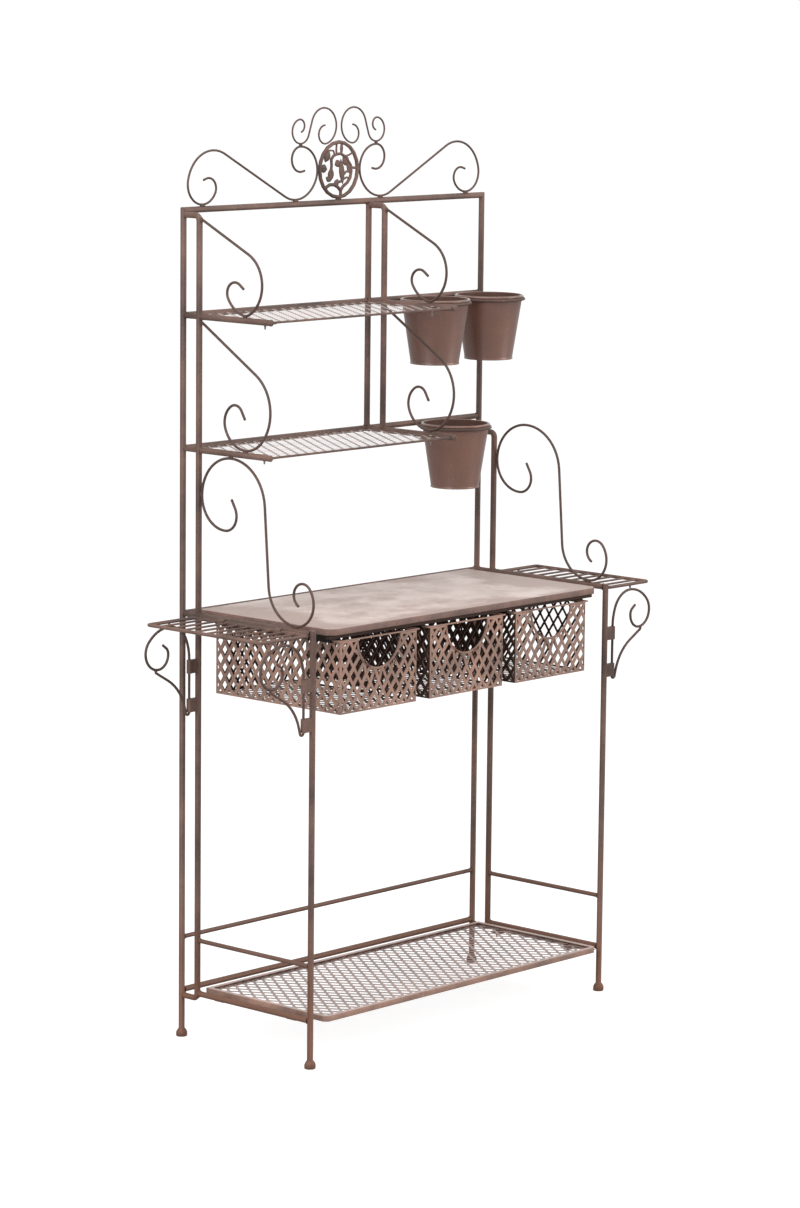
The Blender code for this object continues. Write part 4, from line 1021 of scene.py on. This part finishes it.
class PLANTRACK_OT_drawers(RackOperator, bpy.types.Operator):
    """Make the three mesh drawers with their half-moon finger gaps"""

    bl_idname = "plant_rack.drawers"
    bl_label = "Drawers"

    def execute(self, context):
        for side, neighbours in DRAWER_NEIGHBOURS.items():
            node = f"drawer_{side}"
            low, high = corners(node)
            low.x += DRAWER_FLANGE
            high.x -= DRAWER_FLANGE
            basket, middle = bmesh.new(), (low + high) / 2
            self.walls(basket, low, high)
            bmesh.ops.recalc_face_normals(basket, faces=basket.faces)
            # Painted shade: faces turned into the basket, except those that point up, and the sides that face
            # a neighbouring drawer take the dark paint
            for face in basket.faces:
                inward = face.normal.dot((middle - face.calc_center_median()).normalized())
                shaded = any(face.normal.x * way > 0.9 for way in neighbours)
                face.material_index = 1 if shaded or (inward > 0.05 and face.normal.z < 0.5) else 0
            paints = [basket_paint(), painted_shade_paint()]
            make_piece(f"{node}_mesh", basket, node, paints, (node,), outward=False)
            self.rim(node, low, high)
        return {"FINISHED"}

    def walls(self, basket, low, high):
        """The five panels of mesh, which lie half a sheet inside the basket's box."""
        middle, size = (low + high) / 2, high - low
        wide, deep, tall = size.x - DRAWER_SHEET, size.y - DRAWER_SHEET, size.z - DRAWER_RIM
        inset, z = DRAWER_SHEET / 2, low.z + tall / 2
        upright = Matrix.Rotation(pi / 2, 4, "X")
        sideways = Matrix.Rotation(pi / 2, 4, "Z") @ upright
        thin = sizes().thin_strand
        front = Matrix.Translation((middle.x, low.y + inset, z)) @ upright
        back = Matrix.Translation((middle.x, high.y - inset, z)) @ upright
        gap = partial(self.half_moon, tall / 2)
        mesh_panel(basket, wide, tall, front, lean=DRAWER_LEAN, shape=gap)
        mesh_panel(basket, wide, tall, back, strand=thin)
        for x, strand in ((low.x + inset, sizes().strand), (high.x - inset, thin)):
            mesh_panel(basket, deep, tall, Matrix.Translation((x, middle.y, z)) @ sideways, strand=strand)
        floor = Matrix.Translation((middle.x, middle.y, low.z + inset))
        mesh_panel(basket, wide, deep, floor, strand=sizes().floor_strand, thick=sizes().floor_sheet)

    def half_moon(self, top, sheet):
        """Open the half-moon, and draw the strands beside it up to its rim."""

        def away(vert):
            return Vector((vert.co.x, vert.co.y - top)).length

        inside = [f for f in sheet.faces if sum(away(v) for v in f.verts) / len(f.verts) < HALF_MOON_R]
        bmesh.ops.delete(sheet, geom=inside, context="FACES")
        for vert in sheet.verts:
            distance = away(vert)
            if vert.is_boundary and distance < HALF_MOON_R + HALF_MOON_REACH and vert.co.y < top - 0.001:
                offset = Vector((vert.co.x, vert.co.y - top)) * (HALF_MOON_R / distance)
                vert.co.x, vert.co.y = offset.x, offset.y + top

    def rim(self, node, low, high):
        """The flat rim that runs in the runners, and the band round the half-moon."""
        mesh = bmesh.new()
        under, sheet = high.z - DRAWER_RIM, 2 * DRAWER_SHEET
        near = Vector((low.x - DRAWER_FLANGE, low.y, under))
        far = Vector((high.x + DRAWER_FLANGE, high.y, high.z))
        flat_frame(mesh, near, far, DRAWER_FLANGE + sheet, sheet)
        centre = Vector(((low.x + high.x) / 2, low.y + DRAWER_SHEET, under))
        place = Matrix.Translation(centre + Vector((HALF_MOON_R, 0.0, 0.0)))
        flat = Matrix.Diagonal((HALF_MOON_BAND, sheet, 1.0, 1.0))
        band = bmesh.ops.create_grid(mesh, x_segments=1, y_segments=1, size=0.5, matrix=place @ flat)["verts"]
        section = edges_of(band) + band[0].link_faces[:]
        bmesh.ops.spin(mesh, geom=section, cent=centre, axis=Y_AXIS, angle=pi, steps=28)
        make_piece(f"{node}_rim", mesh, node, [basket_paint()])


class PLANTRACK_OT_leaves(RackOperator, bpy.types.Operator):
    """Make the hinged side leaves of wire"""

    bl_idname = "plant_rack.leaves"
    bl_label = "Side leaves"

    def execute(self, context):
        for side, sign in SIDES:
            node = f"leaf_{side}"
            low, high = corners(node)
            inner, outer = LEAF_HINGE_X, max(abs(low.x), abs(high.x)) - LEAF_WIRE_R
            back, front = high.y - LEAF_WIRE_R, low.y + LEAF_WIRE_R
            mesh = self.border(inner, outer, back, front, sign)
            for k in range(LEAF_RODS):
                y = back - (back - front) * (k + 1) / (LEAF_RODS + 1)
                ends = [Vector((sign * x, y, LEAF_Z)) for x in (inner, outer)]
                round_bar(mesh, *ends, LEAF_ROD_R, 12)
                for x in (inner + LEAF_WIRE_R, outer - LEAF_WIRE_R):
                    hoop(mesh, Vector((sign * x, y, LEAF_Z)), X_AXIS, LEAF_ROD_R, LEAF_ROD_BEAD)
            for y in (back, front):
                peg = Vector((sign * (inner + LEAF_PEG_PLACE), y, LEAF_Z))
                round_bar(mesh, peg, peg - Vector((0.0, 0.0, LEAF_PEG_DROP)), LEAF_ROD_R, 12)
            make_piece(f"{node}_look", mesh, node, [tube_paint()], (node,), sharp=50.0)
        return {"FINISHED"}

    def border(self, inner, outer, back, front, sign):
        """The wire round a leaf, closed at the middle of its inner side."""
        wide, deep = outer - inner, back - front
        wire = BentWire(LEAF_WIRE_R, (inner, (front + back) / 2), 90.0)
        wire.forward(deep / 2 - LEAF_CORNER_R).bend(LEAF_CORNER_R, -90)
        for run in (wide, deep, wide):
            wire.forward(run - 2 * LEAF_CORNER_R).bend(LEAF_CORNER_R, -90)
        wire.forward(deep / 2 - LEAF_CORNER_R)
        seam = list(dict.fromkeys(vert for edge in wire.edges + wire.first for vert in edge.verts))
        bmesh.ops.remove_doubles(wire.mesh, verts=seam, dist=0.0001)
        flat = Matrix.Translation((0.0, 0.0, LEAF_Z)) @ Matrix.Rotation(-pi / 2, 4, "X")
        mirror = Matrix.Diagonal((sign, 1.0, 1.0, 1.0))
        bmesh.ops.transform(wire.mesh, matrix=mirror @ flat, verts=wire.mesh.verts)
        return wire.mesh


class PLANTRACK_OT_brackets(RackOperator, bpy.types.Operator):
    """Bend the swing brackets that hold the leaves up"""

    bl_idname = "plant_rack.brackets"
    bl_label = "Swing brackets"

    def execute(self, context):
        apex = LEAF_Z - LEAF_PEG_DROP - GAP - SCROLL_R
        bottom = low_of("bracket_rear_left").z + BRACKET_HAIRPIN_R + SCROLL_R
        slope = sin(radians(BRACKET_LEAN))
        shoulder = apex - BRACKET_LEAN_R * slope - BRACKET_SHOULDER_R * (1 - slope)
        toward = Vector((cos(BRACKET_WELD_AT), sin(BRACKET_WELD_AT)))
        for depth, y in (("rear", POST_Y), ("front", FRONT_Y)):
            for side, sign in SIDES:
                wire = BentWire(SCROLL_R, (0.0, bottom), 90.0).forward(shoulder - bottom)
                wire.bend(BRACKET_LEAN_R, -BRACKET_LEAN).bend(BRACKET_SHOULDER_R, BRACKET_LEAN - 90)
                wire.bend(*BRACKET_BROW)
                hub = wire.point + wire.side_of(-1) * BRACKET_CURL_R
                wire.curl(BRACKET_CURL, BRACKET_TIP)
                wire.go_back().bend(BRACKET_HAIRPIN_R, BRACKET_HAIRPIN_TURN).forward(BRACKET_HAIRPIN_RUN)
                wire.bend_towards(BRACKET_BRACE_R, -1, hub + toward * (BRACKET_CURL_R + 2 * SCROLL_R + GAP))
                mirror = Matrix.Diagonal((sign, 1.0, 1.0, 1.0))
                mesh = wire.finished(Matrix.Translation((sign * BRACKET_X, y, 0.0)) @ mirror)
                weld = hub + toward * (BRACKET_CURL_R + SCROLL_R)
                blob(mesh, (sign * (BRACKET_X + weld.x), y, weld.y), BRACKET_WELD)
                node = f"bracket_{depth}_{side}"
                wire_piece(node, mesh, node)
        return {"FINISHED"}


class PLANTRACK_OT_pots(RackOperator, bpy.types.Operator):
    """Turn the pots and bend their rings"""

    bl_idname = "plant_rack.pots"
    bl_label = "Pots and rings"

    def execute(self, context):
        for name in ("upper_left", "upper_right", "lower"):
            self.pot(f"pot_{name}")
            self.ring(f"ring_{name}", middle_of(f"pot_{name}"))
        return {"FINISHED"}

    def pot(self, node):
        """A turned pot, whose inside is painted darker in place of the deep shade there."""
        low, high = corners(node)
        centre = (low + high) / 2
        mesh = bmesh.new()
        profile = self.profile((high.x - low.x) / 2 - POT_BEAD_R, high.z - low.z)
        knots = [mesh.verts.new((radius, 0.0, z)) for radius, z in profile]
        section = knots + [mesh.edges.new(pair) for pair in zip(knots, knots[1:])]
        bmesh.ops.spin(
            mesh, geom=section, cent=(0, 0, 0), axis=Z_AXIS, angle=2 * pi, steps=POT_SIDES, use_merge=True
        )
        bmesh.ops.remove_doubles(mesh, verts=mesh.verts, dist=0.00001)
        bmesh.ops.translate(mesh, verts=mesh.verts, vec=(centre.x, centre.y, high.z))
        bmesh.ops.recalc_face_normals(mesh, faces=mesh.faces)
        for face in mesh.faces:
            inward = face.normal.dot(centre - face.calc_center_median())
            face.material_index = 1 if inward > 0.004 else 0
        fine = {"contrast": 0.12, "grain": 420.0, "patch": 5.0, "bump": 0.05}
        outer = paint("pot paint", colours().pot, roughness=0.3, mirror=0.65, sheen=0.4, **fine)
        inner = paint("pot inside", [0.5 * c for c in colours().pot], roughness=0.55, mirror=0.15, **fine)
        make_piece(f"{node}_look", mesh, node, [outer, inner], (node,), sharp=50.0)

    def profile(self, wall, tall):
        """Half of a section, as radius and height: over the floor, up the inside, and down the outside."""
        foot, lip, sheet = wall * POT_FOOT_SHARE, POT_FOOT_LIP, POT_SHEET
        taper = (wall - foot) / tall
        floor = [(0.0, sheet - tall), (foot - 2 * sheet, sheet - tall), (foot - sheet, 2 * sheet - tall)]
        turns = [pi * (k / 8 - 0.5) for k in range(13)]
        rim = [(wall + POT_BEAD_R * sin(turn), POT_BEAD_R * (cos(turn) - 1)) for turn in turns]
        steps = ((3 * taper, 3), (0.7, 1.4), (1, 0.7), (0.7, 0), (-1, 0), (-2, 0.5))
        under = [(foot + out * lip, up * lip - tall) for out, up in steps]
        return [*floor, *rim, *under, (0.0, 0.5 * lip - tall)]

    def ring(self, node, centre):
        """The hoop that a pot hangs in, and its weld to the rail behind it."""
        low, high = corners(node)
        mesh = bmesh.new()
        centre.z = (low.z + high.z) / 2
        hoop(mesh, centre, Z_AXIS, (high.x - low.x) / 2 - RING_WIRE_R, RING_WIRE_R)
        blob(mesh, (centre.x, BACK_Y - TUBE_R, centre.z + RING_WELD_UP), RING_WELD)
        wire_piece(node, mesh)


class PLANTRACK_OT_fasteners(RackOperator, bpy.types.Operator):
    """Put the screws in their tabs"""

    bl_idname = "plant_rack.fasteners"
    bl_label = "Screws"

    def execute(self, context):
        mesh = bmesh.new()
        for level in ("upper", "lower"):
            low, high = corners(f"{level}_shelf")
            tip = low.z - ARM_SCREW_DROP
            for side, x in ARM_SIDES:
                x += ARM_SCREW_IN if side == "left" else -ARM_SCREW_IN
                y = BACK_Y - ARM_SCREW_BACK
                blob(mesh, (x, y, high.z), SCREW_HEAD)
                self.screw(mesh, x, y, tip, high.z, COLLAR_R, tip + COLLAR_UP)
        for node, inset in (("desk_top", DESK_SCREW_IN), ("bottom_shelf", BOTTOM_SCREW_IN)):
            under = low_of(node).z
            top = under - TAB_SHEET
            for _, sign in SIDES:
                for y in (FRONT_Y + TAB_SCREW_IN, POST_Y - TAB_SCREW_IN):
                    x = sign * (HALF_WIDTH - inset)
                    self.screw(mesh, x, y, under - TAB_SCREW_DROP, top, NUT_R, top)
        steel = paint("pin steel", colours().pin, contrast=0.2, roughness=0.4, metallic=0.4)
        make_piece("screws", mesh, "frame", [steel], sharp=40.0)
        return {"FINISHED"}

    def screw(self, mesh, x, y, tip, top, nut_r, nut_top):
        """The shank of a screw, and the nut or collar on it."""
        for low, high, radius, sides in ((tip, top, SCREW_R, 12), (nut_top - NUT_TALL, nut_top, nut_r, 6)):
            round_bar(mesh, Vector((x, y, low)), Vector((x, y, high)), radius, sides, rounded=SCREW_EASE)


class PLANTRACK_OT_stage(RackOperator, bpy.types.Operator):
    """Set the floor, the lamps, the world and the camera"""

    bl_idname = "plant_rack.stage"
    bl_label = "Stage"

    def execute(self, context):
        scene = context.scene
        scene.view_settings.view_transform = "Standard"
        self.floor(scene)
        self.world(scene)
        for lamp in LAMPS:
            self.lamp(scene, *lamp)
        self.camera(scene)
        return {"FINISHED"}

    def floor(self, scene):
        """A pale floor that keeps its shadow and glows only for the camera."""
        mesh = bmesh.new()
        bmesh.ops.create_grid(mesh, x_segments=1, y_segments=1, size=FLOOR_SIZE)
        data = bpy.data.meshes.new("floor")
        mesh.to_mesh(data)
        mesh.free()
        floor = bpy.data.objects.new("floor", data)
        scene.collection.objects.link(floor)
        surface, tree, shader = new_surface("pale floor")
        tree.fill(shader, Base_Color=FLOOR_GREY, Roughness=0.9, Specular_IOR_Level=0.1)
        path = tree.add("ShaderNodeLightPath").outputs
        none = tree.add("ShaderNodeEmission", Color=BLACK, Strength=0.0).outputs["Emission"]
        glow = tree.add("ShaderNodeEmission", Color=WHITE, Strength=FLOOR_GLOW).outputs["Emission"]
        shown = tree.add("ShaderNodeMixShader", Fac=path["Is Camera Ray"])
        tree.feed(shown, 1, none, glow)
        both = tree.add("ShaderNodeAddShader")
        tree.feed(both, 0, shader.outputs["BSDF"], shown.outputs["Shader"])
        tree.feed(surface.node_tree.nodes["Material Output"], 0, both.outputs["Shader"])
        data.materials.append(surface)

    def world(self, scene):
        """Soft light from all round, which the camera and the gloss see as white."""
        world = scene.world or bpy.data.worlds.new("studio")
        scene.world = world
        world.use_nodes = True
        tree = Nodes(world.node_tree)
        light = tree.fill(world.node_tree.nodes["Background"], Color=WHITE, Strength=WORLD_LIGHT)
        white = tree.add("ShaderNodeBackground", Color=WHITE, Strength=1.0)
        path = tree.add("ShaderNodeLightPath").outputs
        seen = tree.maths("MAXIMUM", path["Is Camera Ray"], path["Is Glossy Ray"])
        mix = tree.add("ShaderNodeMixShader", Fac=seen)
        tree.feed(mix, 1, light.outputs["Background"], white.outputs["Background"])
        tree.feed(world.node_tree.nodes["World Output"], 0, mix.outputs["Shader"])

    def lamp(self, scene, name, place, target, size, power):
        light = bpy.data.lights.new(name, "AREA")
        light.size = size
        light.energy = power
        lamp = bpy.data.objects.new(name, light)
        lamp.location = place
        lamp.rotation_euler = (Vector(target) - Vector(place)).to_track_quat("-Z", "Y").to_euler()
        scene.collection.objects.link(lamp)

    def camera(self, scene):
        lens = bpy.data.cameras.new("camera")
        lens.lens = CAMERA_LENS
        lens.sensor_width = CAMERA_SENSOR
        lens.sensor_fit = "AUTO"
        lens.clip_end = 100.0
        camera = bpy.data.objects.new("camera", lens)
        camera.matrix_world = Matrix.Translation(CAMERA_PLACE)
        for angle, axis in ((-CAMERA_YAW, "Z"), (90.0 - CAMERA_PITCH, "X"), (CAMERA_ROLL, "Z")):
            camera.matrix_world = camera.matrix_world @ Matrix.Rotation(radians(angle), 4, axis)
        scene.collection.objects.link(camera)
        scene.camera = camera


class PLANTRACK_PT_panel(bpy.types.Panel):
    """Lists the rack's sizes, colours and pieces"""

    bl_idname = "PLANTRACK_PT_panel"
    bl_label = "Plant Rack"
    bl_space_type = "VIEW_3D"
    bl_region_type = "UI"
    bl_category = "Plant Rack"

    def draw(self, context):
        layout = self.layout
        for group in (context.scene.plant_rack_sizes, context.scene.plant_rack_colours):
            for name in group.__annotations__:
                layout.prop(group, name)
        for operator in OPERATORS:
            layout.operator(operator.bl_idname)


OPERATORS = (
    PLANTRACK_OT_tubes,
    PLANTRACK_OT_side_scrolls,
    PLANTRACK_OT_crest,
    PLANTRACK_OT_medallion,
    PLANTRACK_OT_shelves,
    PLANTRACK_OT_bottom_shelf,
    PLANTRACK_OT_desk,
    PLANTRACK_OT_drawers,
    PLANTRACK_OT_leaves,
    PLANTRACK_OT_brackets,
    PLANTRACK_OT_pots,
    PLANTRACK_OT_fasteners,
    PLANTRACK_OT_stage,
)
CLASSES = (RackSizes, RackColours, *OPERATORS, PLANTRACK_PT_panel)


def register():
    for item in CLASSES:
        bpy.utils.register_class(item)
    bpy.types.Scene.plant_rack_sizes = PointerProperty(type=RackSizes)
    bpy.types.Scene.plant_rack_colours = PointerProperty(type=RackColours)


def unregister():
    del bpy.types.Scene.plant_rack_colours
    del bpy.types.Scene.plant_rack_sizes
    for item in reversed(CLASSES):
        bpy.utils.unregister_class(item)


def main():
    register()
    for operator in OPERATORS:
        area, action = operator.bl_idname.split(".")
        getattr(getattr(bpy.ops, area), action)()


if __name__ == "__main__":
    main()
